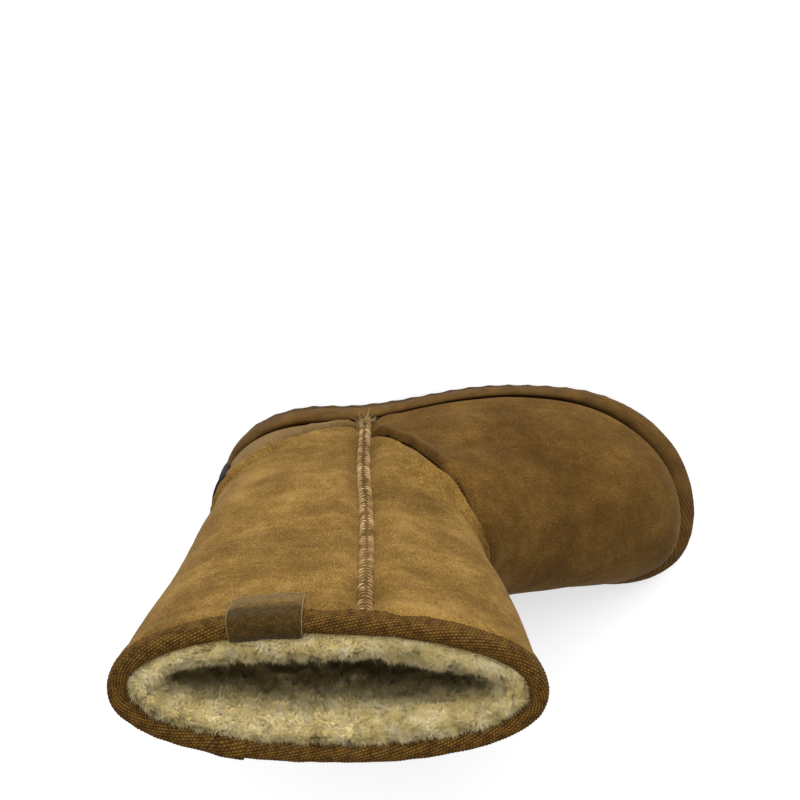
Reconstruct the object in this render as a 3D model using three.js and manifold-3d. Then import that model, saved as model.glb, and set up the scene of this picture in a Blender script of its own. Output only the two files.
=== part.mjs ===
// A sheepskin boot for the left foot, standing empty on its sole.
//
// Frame: +X points to the toe, +Y to the outer side of the foot, +Z up, in millimetres.
// The origin is on the floor, under the middle of the heel.

import * as THREE from "three";
import Module from "manifold-3d";
import { mergeVertices } from "three/addons/utils/BufferGeometryUtils.js";

// ---- driving sizes -------------------------------------------------------------------------

const SOLE_LENGTH = 266;      // over the wrapped edge, heel to toe
const BALL_WIDTH = 113;       // over the wrapped edge, across the ball
const HEEL_BACK = -36.5;      // how far the sole reaches behind the origin
const COLLAR = 245;           // top edge of the shaft above the floor
const SEAT = 20;              // height at which the section table of the upper starts
const INSTEP_HEIGHT = 92;     // above this the sections are level
const ANKLE = 120;            // above this the shaft is nearly straight

const WALL = 14;              // suede, hide and deep wool together
const TIGHT_WALL = 0.8;       // most of a bend's radius that the wool may fill
const COLLAR_WALL = 5;        // wool shorn and pressed flat under the binding
const COLLAR_TRIM = 11;       // depth of that pressed stretch below the edge
const COLLAR_FADE = 14;       // height over which the wall grows to its full thickness
const GAP = 0.3;              // left between pieces that touch

const INSOLE_THICKNESS = 8;
const SOLE_LIP = 1;           // the outsole stands proud of the wrap
const GROOVE_PITCH = 11;      // from lug to lug along the sole
const GROOVE_WIDTH = 4;
const GROOVE_DEPTH = 3;
const GROOVE_SWAY = 4;        // how far each groove zigzags
const GROOVE_BENDS = 6;
const HEEL_PAD = { x: 0, y: 0, length: 40, width: 34 };   // flat spots left between the lugs
const BALL_PAD = { x: 148, y: 0, length: 48, width: 44 };
const TAPE_THICKNESS = 1.2;
const TAPE_DEPTH = 11;        // how far the binding reaches down outside the collar
const TAPE_INSIDE = 8;        // and inside it
const TAB_WIDTH = 29;
const TAB_THICKNESS = 1.5;
const TAB_CENTRE = 0.187;     // share of the way round the collar from the back, on the outer side
const TAB_DROP = 19;          // how far the tab hangs outside the collar
const LABEL_WIDTH = 40;
const LABEL_THICKNESS = 1.6;
const LABEL_GAP = 0.5;        // it bends more than the flat facets behind it
const LABEL_BOTTOM = 36;
const LABEL_TOP = 62;

const AROUND = 64;            // points round each section of the upper
const SOLE_AROUND = 72;
const CAP_POWER = 2.2;        // roundness of heel and toe: 2 is an ellipse

// ---- tables --------------------------------------------------------------------------------

const table = (columns, rows) =>
  rows.map((row) => Object.fromEntries(columns.map((name, i) => [name, row[i]])));

// The sole seen from the side. Lengths are shares of SOLE_LENGTH from the back of the heel,
// heights are mm above the floor: underside, joint between outsole and wrap, top of the wrap.
const SOLE_SIDE = table(
  ["along", "under", "joint", "seat"],
  [
    [0.000, 0.0, 9.0, 21.0],
    [0.137, 0.0, 9.0, 21.0],
    [0.288, 0.0, 9.0, 20.0],
    [0.419, 2.0, 9.5, 18.5],
    [0.551, 0.0, 7.5, 16.5],
    [0.645, 0.0, 7.0, 15.5],
    [0.739, 0.0, 7.0, 15.5],
    [0.833, 1.5, 8.3, 16.5],
    [0.927, 4.5, 11.0, 19.0],
    [1.000, 8.5, 14.5, 22.0],
  ]
);

// Every outline, of the sole and of each level section of the upper, has the same columns.
// height is in mm. back, front and the caps are shares of SOLE_LENGTH: where the outline starts
// and ends, and how long its rounded heel and toe are on the outer and inner side. The rest are
// shares of BALL_WIDTH: where the middle line lies at the back, how far the toe swings, the half
// widths at heel and ball, and how much the waist between them is drawn in.
const OUTLINE = [
  "height", "back", "front", "mid", "swing", "heelCapOut", "heelCapIn", "toeCapOut", "toeCapIn",
  "heelOut", "heelIn", "ballOut", "ballIn", "waistOut", "waistIn",
];

const SOLE_OUTLINE = table(OUTLINE, [
  [0, 0.000, 1.000, 0.000, -0.140, 0.233, 0.188, 0.278, 0.218, 0.395, 0.345, 0.558, 0.440, -0.024, 0.053],
])[0];

const UPPER_SECTIONS = table(OUTLINE, [
  [SEAT, 0.024, 0.945, 0.009, -0.133, 0.195, 0.165, 0.278, 0.211, 0.327, 0.301, 0.504, 0.363, -0.018, 0.040],
  [28, 0.009, 0.957, 0.009, -0.133, 0.203, 0.173, 0.286, 0.226, 0.345, 0.319, 0.522, 0.376, -0.018, 0.040],
  [38, 0.006, 0.953, 0.009, -0.133, 0.211, 0.180, 0.301, 0.248, 0.345, 0.319, 0.504, 0.374, -0.009, 0.038],
  [50, 0.006, 0.926, 0.009, -0.115, 0.211, 0.180, 0.316, 0.271, 0.345, 0.319, 0.469, 0.360, -0.009, 0.030],
  [61, 0.006, 0.876, 0.009, -0.097, 0.211, 0.180, 0.323, 0.286, 0.336, 0.319, 0.429, 0.338, 0.000, 0.022],
  [72, 0.006, 0.798, 0.000, -0.080, 0.211, 0.188, 0.293, 0.275, 0.336, 0.319, 0.394, 0.323, 0.000, 0.014],
  [84, 0.006, 0.700, 0.000, -0.053, 0.203, 0.195, 0.252, 0.244, 0.327, 0.323, 0.372, 0.318, 0.000, 0.006],
  [98, 0.002, 0.602, 0.000, -0.027, 0.211, 0.203, 0.218, 0.218, 0.327, 0.325, 0.345, 0.323, 0, 0],
  [114, -0.005, 0.532, -0.009, -0.009, 0.218, 0.218, 0.218, 0.218, 0.327, 0.327, 0.327, 0.327, 0, 0],
  [132, -0.012, 0.524, -0.018, 0.000, 0.241, 0.241, 0.241, 0.241, 0.319, 0.319, 0.319, 0.319, 0, 0],
  [160, -0.023, 0.543, -0.027, 0.000, 0.271, 0.271, 0.271, 0.271, 0.309, 0.309, 0.309, 0.309, 0, 0],
  [190, -0.037, 0.560, -0.035, 0.000, 0.297, 0.297, 0.305, 0.305, 0.297, 0.295, 0.297, 0.295, 0, 0],
  [220, -0.051, 0.570, -0.044, 0.000, 0.308, 0.308, 0.320, 0.320, 0.284, 0.275, 0.284, 0.275, 0, 0],
  [COLLAR, -0.060, 0.576, -0.053, 0.000, 0.320, 0.320, 0.327, 0.327, 0.270, 0.261, 0.270, 0.261, 0, 0],
]);

// The wrap's edge in section: across is the share of the way from the sole's outline to the foot
// of the upper, rise the share of the wrap's height, and extra a height in mm on top of that.
const WRAP_EDGE = table(
  ["across", "rise", "extra"],
  [
    [0.14, 0.0, GAP],
    [0.02, 0.12, 0.0],
    [0.0, 0.55, 0.0],
    [0.1, 0.86, 0.0],
    [0.28, 1.0, 0.6],
    [0.5, 1.0, 1.0],
    [0.72, 1.0, 0.3],
    [0.88, 1.0, -1.0],
    [0.98, 1.0, -GAP],
  ]
);

// ---- curves --------------------------------------------------------------------------------

// A smooth curve through one column of a table. It goes level where the values stop rising or
// falling, so a flat stretch stays flat and nothing overshoots.
function curve(rows, key, column, at) {
  const slope = (i) => {
    const before = rows[i - 1];
    const here = rows[i];
    const after = rows[i + 1];
    if (!before) return (after[column] - here[column]) / (after[key] - here[key]);
    if (!after) return (here[column] - before[column]) / (here[key] - before[key]);
    const low = here[key] - before[key];
    const high = after[key] - here[key];
    const fall = (here[column] - before[column]) / low;
    const rise = (after[column] - here[column]) / high;
    return fall * rise <= 0 ? 0 : (fall * high + rise * low) / (low + high);
  };
  const x = THREE.MathUtils.clamp(at, rows[0][key], rows.at(-1)[key]);
  const i = Math.min(rows.findLastIndex((row) => row[key] <= x), rows.length - 2);
  const span = rows[i + 1][key] - rows[i][key];
  const t = (x - rows[i][key]) / span;
  return (
    (2 * t ** 3 - 3 * t ** 2 + 1) * rows[i][column] +
    (t ** 3 - 2 * t ** 2 + t) * span * slope(i) +
    (3 * t ** 2 - 2 * t ** 3) * rows[i + 1][column] +
    (t ** 3 - t ** 2) * span * slope(i + 1)
  );
}

const smooth = (t) => THREE.MathUtils.smoothstep(t, 0, 1);
const soleHeight = (column, x) => curve(SOLE_SIDE, "along", column, (x - HEEL_BACK) / SOLE_LENGTH);

// Half the width of an outline at x, on one side of its middle line.
function halfWidth(x, back, front, heelCap, toeCap, heel, ball, waist) {
  const t = THREE.MathUtils.clamp((x - back - heelCap) / (front - toeCap - back - heelCap), 0, 1);
  const straight = heel + (ball - heel) * smooth(t) - waist * Math.sin(Math.PI * t) ** 2;
  const atHeel = THREE.MathUtils.clamp((back + heelCap - x) / heelCap, 0, 1);
  const atToe = THREE.MathUtils.clamp((x - front + toeCap) / toeCap, 0, 1);
  const round = (share) => (1 - share ** CAP_POWER) ** (1 / CAP_POWER);
  return straight * round(atHeel) * round(atToe);
}

// Points at equal steps along a polyline, without its last point.
function evenly(line, count) {
  const reach = [0];
  for (let i = 1; i < line.length; i++) reach.push(reach[i - 1] + line[i].distanceTo(line[i - 1]));
  const points = [];
  for (let i = 0, k = 0; i < count; i++) {
    const at = (reach.at(-1) * i) / count;
    while (reach[k + 1] < at) k++;
    points.push(line[k].clone().lerp(line[k + 1], (at - reach[k]) / (reach[k + 1] - reach[k])));
  }
  return points;
}

// A closed outline: from the back of the heel along the outer side to the toe, and home again
// along the inner side, with half its points on each side.
function outline(row, count) {
  const STEPS = 240;
  const back = HEEL_BACK + SOLE_LENGTH * row.back;
  const front = HEEL_BACK + SOLE_LENGTH * row.front;
  const sides = { Out: [], In: [] };
  for (const [side, sign] of [["Out", 1], ["In", -1]]) {
    const size = (name) => row[name + side] * BALL_WIDTH;
    const cap = (name) => row[name + side] * SOLE_LENGTH;
    for (let i = 0; i <= STEPS; i++) {
      const along = (1 - Math.cos((Math.PI * i) / STEPS)) / 2;
      const x = back + (front - back) * along;
      const middle = BALL_WIDTH * (row.mid + row.swing * along ** 3);
      const half = halfWidth(
        x, back, front, cap("heelCap"), cap("toeCap"), size("heel"), size("ball"), size("waist")
      );
      sides[side].push(new THREE.Vector2(x, middle + sign * half));
    }
  }
  return [...evenly(sides.Out, count / 2), ...evenly(sides.In.reverse(), count / 2)];
}

// The same outline moved inwards by a distance, square to itself.
function inset(ring, distance) {
  return ring.map((point, i) => {
    const before = ring[(i + ring.length - 1) % ring.length];
    const after = ring[(i + 1) % ring.length];
    const along = after.clone().sub(before).normalize();
    return new THREE.Vector2(point.x + along.y * distance, point.y - along.x * distance);
  });
}

// ---- the upper's form ----------------------------------------------------------------------

function sectionAt(height) {
  const row = {};
  for (const name of OUTLINE) row[name] = curve(UPPER_SECTIONS, "height", name, height);
  return row;
}

// One ring of the upper's outside. Low rings follow the rise and fall of the wrap's top.
function upperRing(height, count = AROUND) {
  const follow = 1 - smooth((height - SEAT) / (INSTEP_HEIGHT - SEAT));
  return outline(sectionAt(height), count).map((p) => {
    const lift = soleHeight("seat", p.x) - SEAT;
    return new THREE.Vector3(p.x, p.y, height + follow * lift);
  });
}

// Unit vectors square to a grid of rings, pointing out.
function gridNormals(rings) {
  return rings.map((ring, k) =>
    ring.map((point, j) => {
      const count = ring.length;
      const around = ring[(j + 1) % count].clone().sub(ring[(j + count - 1) % count]);
      const up = rings[Math.min(k + 1, rings.length - 1)][j].clone().sub(rings[Math.max(k - 1, 0)][j]);
      return up.cross(around).normalize();
    })
  );
}

// The wall's thickness at one corner of a ring: the wool has less room where the ring bends.
function wallAt(ring, j, height) {
  const below = COLLAR - COLLAR_TRIM - height;
  const wall = COLLAR_WALL + (WALL - COLLAR_WALL) * smooth(below / COLLAR_FADE);
  const [a, b, c] = [-1, 0, 1].map((step) => ring[(j + step + ring.length) % ring.length]);
  const sides = a.distanceTo(b) * b.distanceTo(c) * c.distanceTo(a);
  const bend = sides / (4 * new THREE.Triangle(a, b, c).getArea());
  return Math.min(wall, Math.max(TIGHT_WALL * bend, COLLAR_WALL));
}

// ---- closed meshes from rings --------------------------------------------------------------

// A skin of quads over rings with equal counts, each quad cut along its shorter diagonal.
class Skin {
  constructor() {
    this.points = [];
    this.faces = [];
  }
  ring(points) {
    const start = this.points.length;
    this.points.push(...points);
    return points.map((_, i) => start + i);
  }
  quad(a, b, c, d) {
    const p = this.points;
    if (p[a].distanceToSquared(p[c]) <= p[b].distanceToSquared(p[d])) {
      this.faces.push([a, b, c], [a, c, d]);
    } else {
      this.faces.push([a, b, d], [b, c, d]);
    }
  }
  // Joins two closed rings. The faces look out when the rings run anticlockwise and b is above a.
  band(a, b, closed = true) {
    const last = closed ? a.length : a.length - 1;
    for (let i = 0; i < last; i++) {
      const j = (i + 1) % a.length;
      this.quad(a[i], a[j], b[j], b[i]);
    }
  }
  // Closes a ring with rungs from its outer to its inner side, looking up or down.
  lid(ring, up) {
    const n = ring.length;
    for (let i = 0; i < n / 2; i++) {
      const quad = [ring[i], ring[i + 1], ring[(n - i - 1) % n], ring[(n - i) % n]];
      const corners = quad.filter((corner, k) => quad.indexOf(corner) === k);
      if (!up) corners.reverse();
      if (corners.length === 3) this.faces.push(corners);
      else this.quad(...corners);
    }
  }
  geometry() {
    const geometry = new THREE.BufferGeometry();
    const position = this.points.flatMap((p) => [p.x, p.y, p.z]);
    geometry.setAttribute("position", new THREE.Float32BufferAttribute(position, 3));
    geometry.setIndex(this.faces.flat());
    geometry.computeVertexNormals();
    return geometry;
  }
}

const at = (point, z) => new THREE.Vector3(point.x, point.y, z);
// Outlines start at the heel and pass the outer side first, which is clockwise seen from above.
const anticlockwise = (ring) => [ring[0], ...ring.slice(1).reverse()];

function piece(name, geometry, color, roughness) {
  const mesh = new THREE.Mesh(geometry, new THREE.MeshStandardMaterial({ color, roughness, metalness: 0 }));
  mesh.name = name;
  return mesh;
}

// ---- upper ---------------------------------------------------------------------------------

// The rings stand at the table's heights, and halfway between them where the foot turns.
function upperHeights() {
  const heights = UPPER_SECTIONS.map((row) => row.height);
  const turning = heights.filter((height) => height < ANKLE);
  const halfway = turning.map((height, i) => (height + heights[i + 1]) / 2);
  return [...heights, ...halfway, COLLAR - COLLAR_TRIM].sort((a, b) => a - b);
}

function makeUpper() {
  const heights = upperHeights();
  const outside = heights.map((height) => upperRing(height));
  const normals = gridNormals(outside);
  const inside = outside.map((ring, k) =>
    ring.map((point, j) => {
      const normal = normals[k][j].clone();
      const level = k === 0 || heights[k] >= COLLAR - COLLAR_TRIM;
      if (level) normal.setZ(0).normalize();
      const inner = point.clone().addScaledVector(normal, -wallAt(ring, j, heights[k]));
      if (k === 0) inner.z = soleHeight("seat", inner.x);
      return inner;
    })
  );
  const skin = new Skin();
  const outer = outside.map((ring) => skin.ring(anticlockwise(ring)));
  const inner = inside.map((ring) => skin.ring(anticlockwise(ring)));
  for (let k = 1; k < heights.length; k++) {
    skin.band(outer[k - 1], outer[k]);
    skin.band(inner[k], inner[k - 1]);
  }
  skin.band(outer.at(-1), inner.at(-1));
  skin.band(inner[0], outer[0]);
  return { mesh: piece("upper", skin.geometry(), 0x8a6532, 0.95), seat: inside[0] };
}

// ---- sole ----------------------------------------------------------------------------------

const soleOutline = outline(SOLE_OUTLINE, SOLE_AROUND);

function makeMidsole() {
  const foot = upperRing(SEAT, SOLE_AROUND);
  const skin = new Skin();
  const rings = WRAP_EDGE.map(({ across, rise, extra }) => {
    const ring = soleOutline.map((edge, j) => {
      const point = edge.clone().lerp(foot[j], across);
      const joint = soleHeight("joint", point.x);
      return at(point, joint + rise * (soleHeight("seat", point.x) - joint) + extra);
    });
    return skin.ring(anticlockwise(ring));
  });
  skin.lid(rings[0], false);
  for (let k = 1; k < rings.length; k++) skin.band(rings[k - 1], rings[k]);
  skin.lid(rings.at(-1), true);
  return piece("midsole", skin.geometry(), 0x6b4e1c, 0.9);
}

const wasm = await Module();
wasm.setup();

function toSolid(geometry) {
  const bare = geometry.clone();
  bare.deleteAttribute("normal");
  bare.deleteAttribute("uv");
  const merged = mergeVertices(bare);
  const vertProperties = merged.attributes.position.array;
  const triVerts = Uint32Array.from(merged.index.array);
  return new wasm.Manifold(new wasm.Mesh({ numProp: 3, vertProperties, triVerts }));
}

function fromSolid(solid) {
  const { vertProperties, triVerts } = solid.getMesh();
  const geometry = new THREE.BufferGeometry();
  geometry.setAttribute("position", new THREE.BufferAttribute(vertProperties, 3));
  geometry.setIndex(new THREE.BufferAttribute(triVerts, 1));
  geometry.computeVertexNormals();
  return geometry;
}

// A zigzag bar across the sole that cuts one groove into its underside.
function grooveCutter(x) {
  const bend = (i) => {
    const y = BALL_WIDTH * (i / GROOVE_BENDS - 0.5) * 1.3;
    return new THREE.Vector2(x + (i % 2 ? GROOVE_SWAY : 0), y);
  };
  const middle = Array.from({ length: GROOVE_BENDS + 1 }, (_, i) => bend(i));
  const shape = new THREE.Shape([
    ...middle.map((p) => new THREE.Vector2(p.x + GROOVE_WIDTH / 2, p.y)),
    ...middle.map((p) => new THREE.Vector2(p.x - GROOVE_WIDTH / 2, p.y)).reverse(),
  ]);
  const depth = 2 * GROOVE_DEPTH;
  const bar = new THREE.ExtrudeGeometry(shape, { depth, bevelEnabled: false });
  return bar.translate(0, 0, soleHeight("under", x) - GROOVE_DEPTH);
}

function padSolid(pad) {
  const disc = new THREE.CylinderGeometry(0.5, 0.5, 8 * GROOVE_DEPTH, 28).rotateX(Math.PI / 2);
  return toSolid(disc.scale(pad.length, pad.width, 1).translate(pad.x, pad.y, 0));
}

function makeOutsole() {
  const edge = inset(soleOutline, -SOLE_LIP);
  const bevel = 1.4;
  const rings = [
    { shrink: bevel, column: "under", extra: 0 },
    { shrink: 0, column: "under", extra: bevel },
    { shrink: 0, column: "joint", extra: -bevel / 2 },
    { shrink: bevel / 2, column: "joint", extra: 0 },
  ];
  const skin = new Skin();
  const loops = rings.map(({ shrink, column, extra }) => {
    const ring = inset(edge, shrink).map((p) => at(p, soleHeight(column, p.x) + extra));
    return skin.ring(anticlockwise(ring));
  });
  skin.lid(loops[0], false);
  for (let k = 1; k < loops.length; k++) skin.band(loops[k - 1], loops[k]);
  skin.lid(loops.at(-1), true);

  let cutters = null;
  const last = HEEL_BACK + SOLE_LENGTH - GROOVE_PITCH;
  for (let x = HEEL_BACK + GROOVE_PITCH * 0.7; x < last; x += GROOVE_PITCH) {
    const cutter = toSolid(grooveCutter(x));
    cutters = cutters ? cutters.add(cutter) : cutter;
  }
  for (const pad of [HEEL_PAD, BALL_PAD]) cutters = cutters.subtract(padSolid(pad));
  const sole = toSolid(skin.geometry()).subtract(cutters);
  return piece("outsole", fromSolid(sole), 0x4a3a36, 0.85);
}

function makeInsole(seat) {
  const edge = inset(seat, 1.5 * GAP);
  const bevel = 1.5;
  const rings = [
    { shrink: 0, height: 0 },
    { shrink: 0, height: INSOLE_THICKNESS - bevel },
    { shrink: bevel, height: INSOLE_THICKNESS },
  ];
  const skin = new Skin();
  const loops = rings.map(({ shrink, height }) => {
    const ring = inset(edge, shrink).map((p) => at(p, soleHeight("seat", p.x) + height));
    return skin.ring(anticlockwise(ring));
  });
  skin.lid(loops[0], false);
  for (let k = 1; k < loops.length; k++) skin.band(loops[k - 1], loops[k]);
  skin.lid(loops.at(-1), true);
  return piece("insole", skin.geometry(), 0xcdc195, 1);
}

// ---- trim ----------------------------------------------------------------------------------

// The place a share of the way round the upper at a height, and a distance outside of it. It
// uses the upper's own corners, so that trim lies flat on its facets.
function onUpper(share, height, out = 0) {
  const ring = upperRing(height);
  const place = (((share % 1) + 1) % 1) * AROUND;
  const i = Math.floor(place);
  const corner = (j) => {
    const before = ring[(j + AROUND - 1) % AROUND];
    const after = ring[(j + 1) % AROUND];
    const along = after.clone().sub(before).setZ(0).normalize();
    return ring[j % AROUND].clone().add(new THREE.Vector3(-along.y * out, along.x * out, 0));
  };
  return corner(i).lerp(corner(i + 1), place - i);
}

function lengthAround(height) {
  const ring = upperRing(height);
  return ring.reduce((sum, point, i) => sum + point.distanceTo(ring[(i + 1) % AROUND]), 0);
}

// Sweeps a section of [out, up] pairs, measured from the collar's edge, round the collar.
function sweepCollar(section, shares, closed) {
  const skin = new Skin();
  const loops = shares.map((share) =>
    skin.ring(
      section.map(([out, up]) => {
        const point = onUpper(share, Math.min(COLLAR, COLLAR + up), out);
        return at(point, COLLAR + up);
      })
    )
  );
  for (let k = 1; k < loops.length; k++) skin.band(loops[k - 1], loops[k]);
  if (closed) {
    skin.band(loops.at(-1), loops[0]);
  } else {
    const flat = section.map(([out, up]) => new THREE.Vector2(out, up));
    for (const [a, b, c] of THREE.ShapeUtils.triangulateShape(flat, [])) {
      skin.faces.push([loops[0][c], loops[0][b], loops[0][a]]);
      skin.faces.push([loops.at(-1)[a], loops.at(-1)[b], loops.at(-1)[c]]);
    }
  }
  return skin.geometry();
}

// A strip of cloth or leather in section: its middle line made thick, as a closed outline.
function thicken(line, thickness) {
  const points = line.map(([x, y]) => new THREE.Vector2(x, y));
  const side = (sign) =>
    points.map((point, i) => {
      const before = points[Math.max(i - 1, 0)];
      const after = points[Math.min(i + 1, points.length - 1)];
      const along = after.clone().sub(before).normalize().multiplyScalar((sign * thickness) / 2);
      return [point.x + along.y, point.y - along.x];
    });
  return [...side(1), ...side(-1).reverse()];
}

// A tape folded over the collar's edge: inside, over the top and outside.
function makeBinding() {
  const face = GAP + TAPE_THICKNESS;
  const lining = -COLLAR_WALL - GAP;
  const fold = TAPE_THICKNESS / 2;
  const section = [
    [GAP, -TAPE_DEPTH],
    [face, -TAPE_DEPTH],
    [face, face - fold],
    [face - fold, face],
    [lining - fold, face],
    [lining - TAPE_THICKNESS, face - fold],
    [lining - TAPE_THICKNESS, -TAPE_INSIDE],
    [lining, -TAPE_INSIDE],
    [lining, GAP],
    [GAP, GAP],
  ];
  const shares = Array.from({ length: AROUND }, (_, i) => i / AROUND);
  return piece("collar_binding", sweepCollar(section, shares, true), 0x6b4e1c, 0.9);
}

function makePullTab() {
  const overTape = 2 * GAP + TAPE_THICKNESS + TAB_THICKNESS / 2;
  const onSuede = GAP + TAB_THICKNESS / 2;
  const inner = -COLLAR_WALL - overTape;
  const middle = [
    [onSuede, -TAB_DROP],
    [onSuede, -TAPE_DEPTH - 3],
    [overTape, -TAPE_DEPTH - 0.5],
    [overTape, 0],
    [overTape, overTape],
    [0, overTape],
    [-COLLAR_WALL, overTape],
    [inner, overTape],
    [inner, 0],
    [inner, -TAPE_INSIDE + 1],
  ];
  const around = lengthAround(COLLAR);
  const STEPS = 6;
  const shares = Array.from({ length: STEPS + 1 }, (_, i) => {
    return TAB_CENTRE + ((i / STEPS - 0.5) * TAB_WIDTH) / around;
  });
  return piece("pull_tab", sweepCollar(thicken(middle, TAB_THICKNESS), shares, false), 0x7d5c30, 0.95);
}

// A rubber patch on the back of the heel, following the counter.
function makeHeelLabel() {
  const COLUMNS = 8;
  const ROWS = 4;
  const around = lengthAround((LABEL_BOTTOM + LABEL_TOP) / 2);
  const share = (i) => ((0.5 - i / COLUMNS) * LABEL_WIDTH) / around;
  const skin = new Skin();
  const loops = [];
  for (let k = 0; k <= ROWS; k++) {
    const height = LABEL_BOTTOM + ((LABEL_TOP - LABEL_BOTTOM) * k) / ROWS;
    const run = (out) => Array.from({ length: COLUMNS + 1 }, (_, i) => onUpper(share(i), height, out));
    const face = run(LABEL_GAP + LABEL_THICKNESS);
    const back = run(LABEL_GAP).reverse();
    const tip = (a, b) => a.clone().lerp(b, 0.5);
    loops.push(skin.ring([tip(face[0], back.at(-1)), ...face, tip(face.at(-1), back[0]), ...back]));
  }
  skin.lid(loops[0], false);
  for (let k = 1; k <= ROWS; k++) skin.band(loops[k - 1], loops[k]);
  skin.lid(loops.at(-1), true);
  return piece("heel_label", skin.geometry(), 0x2b2a2a, 0.7);
}

// ---- the boot ------------------------------------------------------------------------------

const { mesh: upper, seat } = makeUpper();
const boot = new THREE.Group();
boot.add(makeOutsole(), makeMidsole(), makeInsole(seat), upper);
boot.add(makeBinding(), makePullTab(), makeHeelLabel());

export default boot;
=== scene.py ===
# %% [markdown]
# # A sheepskin boot
#
# The boot stands empty on its sole. Its construction, with every real size, comes from a packed
# model that is loaded first and is never moved. This script gives it its looks: suede panels,
# raised seams with their thread, a twill tape round the collar, deep wool, a cloth wrapped sole
# edge and a rubber outsole. Each cell makes one thing and says why it is made that way.

# %% Load the frame
import math
import bmesh
import bpy
import numpy as np
from mathutils import Matrix, Vector
from mathutils.kdtree import KDTree


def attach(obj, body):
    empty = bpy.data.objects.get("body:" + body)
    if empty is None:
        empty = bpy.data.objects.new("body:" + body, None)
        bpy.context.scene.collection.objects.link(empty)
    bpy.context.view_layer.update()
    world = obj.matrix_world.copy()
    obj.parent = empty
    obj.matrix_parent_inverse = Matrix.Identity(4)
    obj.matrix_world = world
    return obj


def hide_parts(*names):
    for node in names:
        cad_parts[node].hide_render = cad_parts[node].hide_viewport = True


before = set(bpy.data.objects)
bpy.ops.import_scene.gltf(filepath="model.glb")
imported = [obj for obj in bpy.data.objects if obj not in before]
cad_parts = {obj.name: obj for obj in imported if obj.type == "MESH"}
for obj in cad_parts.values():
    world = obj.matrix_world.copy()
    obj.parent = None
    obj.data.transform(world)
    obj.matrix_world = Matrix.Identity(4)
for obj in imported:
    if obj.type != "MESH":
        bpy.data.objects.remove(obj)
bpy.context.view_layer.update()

# %% [markdown]
# ## Camera
#
# A camera is placed by where it stands, what it looks at and how far it is rolled. It stands
# nearly over the boot and leans a little to the outer side, so that the collar is close and the
# sole far away, which makes the collar look large. A 36 mm wide sensor with this lens sees
# about 35 degrees.

# %% The camera
MM = 0.001
STAND = Vector((50, 229, 687)) * MM
LOOK_AT = Vector((62, 47, 0)) * MM
ROLL = math.radians(1.1)
LENS, SENSOR = 56.43, 36

camera_data = bpy.data.cameras.new("camera")
camera_data.lens = LENS
camera_data.sensor_width = SENSOR
camera = bpy.data.objects.new("camera", camera_data)
ahead = (LOOK_AT - STAND).normalized()
sideways = ahead.cross(Vector((0, 1, 0))).normalized()
right = math.cos(ROLL) * sideways + math.sin(ROLL) * sideways.cross(ahead)
up = right.cross(ahead)
camera.matrix_world = Matrix.Translation(STAND) @ Matrix((right, up, -ahead)).transposed().to_4x4()
scene = bpy.context.scene
scene.collection.objects.link(camera)
scene.camera = camera
print("camera stands", round((LOOK_AT - STAND).length * 1000), "mm from what it looks at")

# %% [markdown]
# ## Helpers for materials
#
# Colours are written as the hex values that a colour picker shows. Blender's shaders work in
# linear light, so one function converts them. Another adds a node of any kind: it sets the node's
# own properties, its inputs and the stops of a colour ramp, and an input given as a node or a
# socket becomes a link. Cloth, skin and rubber are all mottled at several sizes at once, so a
# third function mixes a value from noises whose sizes are given in millimetres. Suede, thread
# and rubber differ only in such noises and in their colours, so one function makes them all.

# %% Colour and node helpers
NOISE_ROUGHNESS = 0.6


def linear(hex_colour):
    values = [int(hex_colour[i:i + 2], 16) / 255 for i in (1, 3, 5)]
    return [v / 12.92 if v <= 0.04045 else ((v + 0.055) / 1.055) ** 2.4 for v in values] + [1]


def add(tree, kind, inputs=None, stops=(), **settings):
    """Add a node. Inputs are numbers, hex colours, or the nodes and sockets to link."""
    node = tree.nodes.new(kind)
    for name, value in settings.items():
        setattr(node, name, value)
    for name, value in (inputs or {}).items():
        if isinstance(value, bpy.types.Node):
            value = value.outputs[0]
        if isinstance(value, bpy.types.NodeSocket):
            tree.links.new(value, node.inputs[name])
        else:
            node.inputs[name].default_value = linear(value) if isinstance(value, str) else value
    for k, (place, colour) in enumerate(stops):
        elements = node.color_ramp.elements
        stop = elements[k] if k < len(elements) else elements.new(place)
        stop.position, stop.color = place, linear(colour)
    return node


def new_material(name, **surface):
    """A material with one Principled shader. Constant inputs are set on the shader itself."""
    material = bpy.data.materials.new(name)
    material.use_nodes = True
    shader = material.node_tree.nodes["Principled BSDF"]
    for key, value in surface.items():
        value = linear(value) if isinstance(value, str) else value
        shader.inputs[key.replace("_", " ")].default_value = value
    return material, material.node_tree, shader


def mottle(tree, layers, value=0.0):
    """Add noises to a value. A layer is a size in mm, a share, a detail and perhaps a stretch."""
    place = add(tree, "ShaderNodeTexCoord").outputs["Object"]
    for size, share, detail, *stretch in layers:
        where = add(tree, "ShaderNodeMapping", {"Vector": place, "Scale": stretch[0]}) if stretch else place
        noise = add(tree, "ShaderNodeTexNoise", {
            "Vector": where, "Scale": 1 / (size * MM), "Detail": detail, "Roughness": NOISE_ROUGHNESS,
        })
        value = add(tree, "ShaderNodeMath", {0: noise, 1: share, 2: value}, operation="MULTIPLY_ADD")
    return value


def dress(tree, shader, colour, height, strength, depth):
    """Give the shader its colour and a fine relief whose depth is in mm."""
    relief = add(tree, "ShaderNodeBump", {"Height": height, "Strength": strength, "Distance": depth * MM})
    tree.links.new(colour, shader.inputs["Base Color"])
    tree.links.new(relief.outputs["Normal"], shader.inputs["Normal"])


def make_mottled(name, spots, stops, nap, strength, depth, **surface):
    """A material whose colour and whose relief are both mixed from noises."""
    material, tree, shader = new_material(name, **surface)
    colour = add(tree, "ShaderNodeValToRGB", {"Fac": mottle(tree, spots)}, stops=stops)
    dress(tree, shader, colour.outputs["Color"], mottle(tree, nap), strength, depth)
    return material


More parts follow.
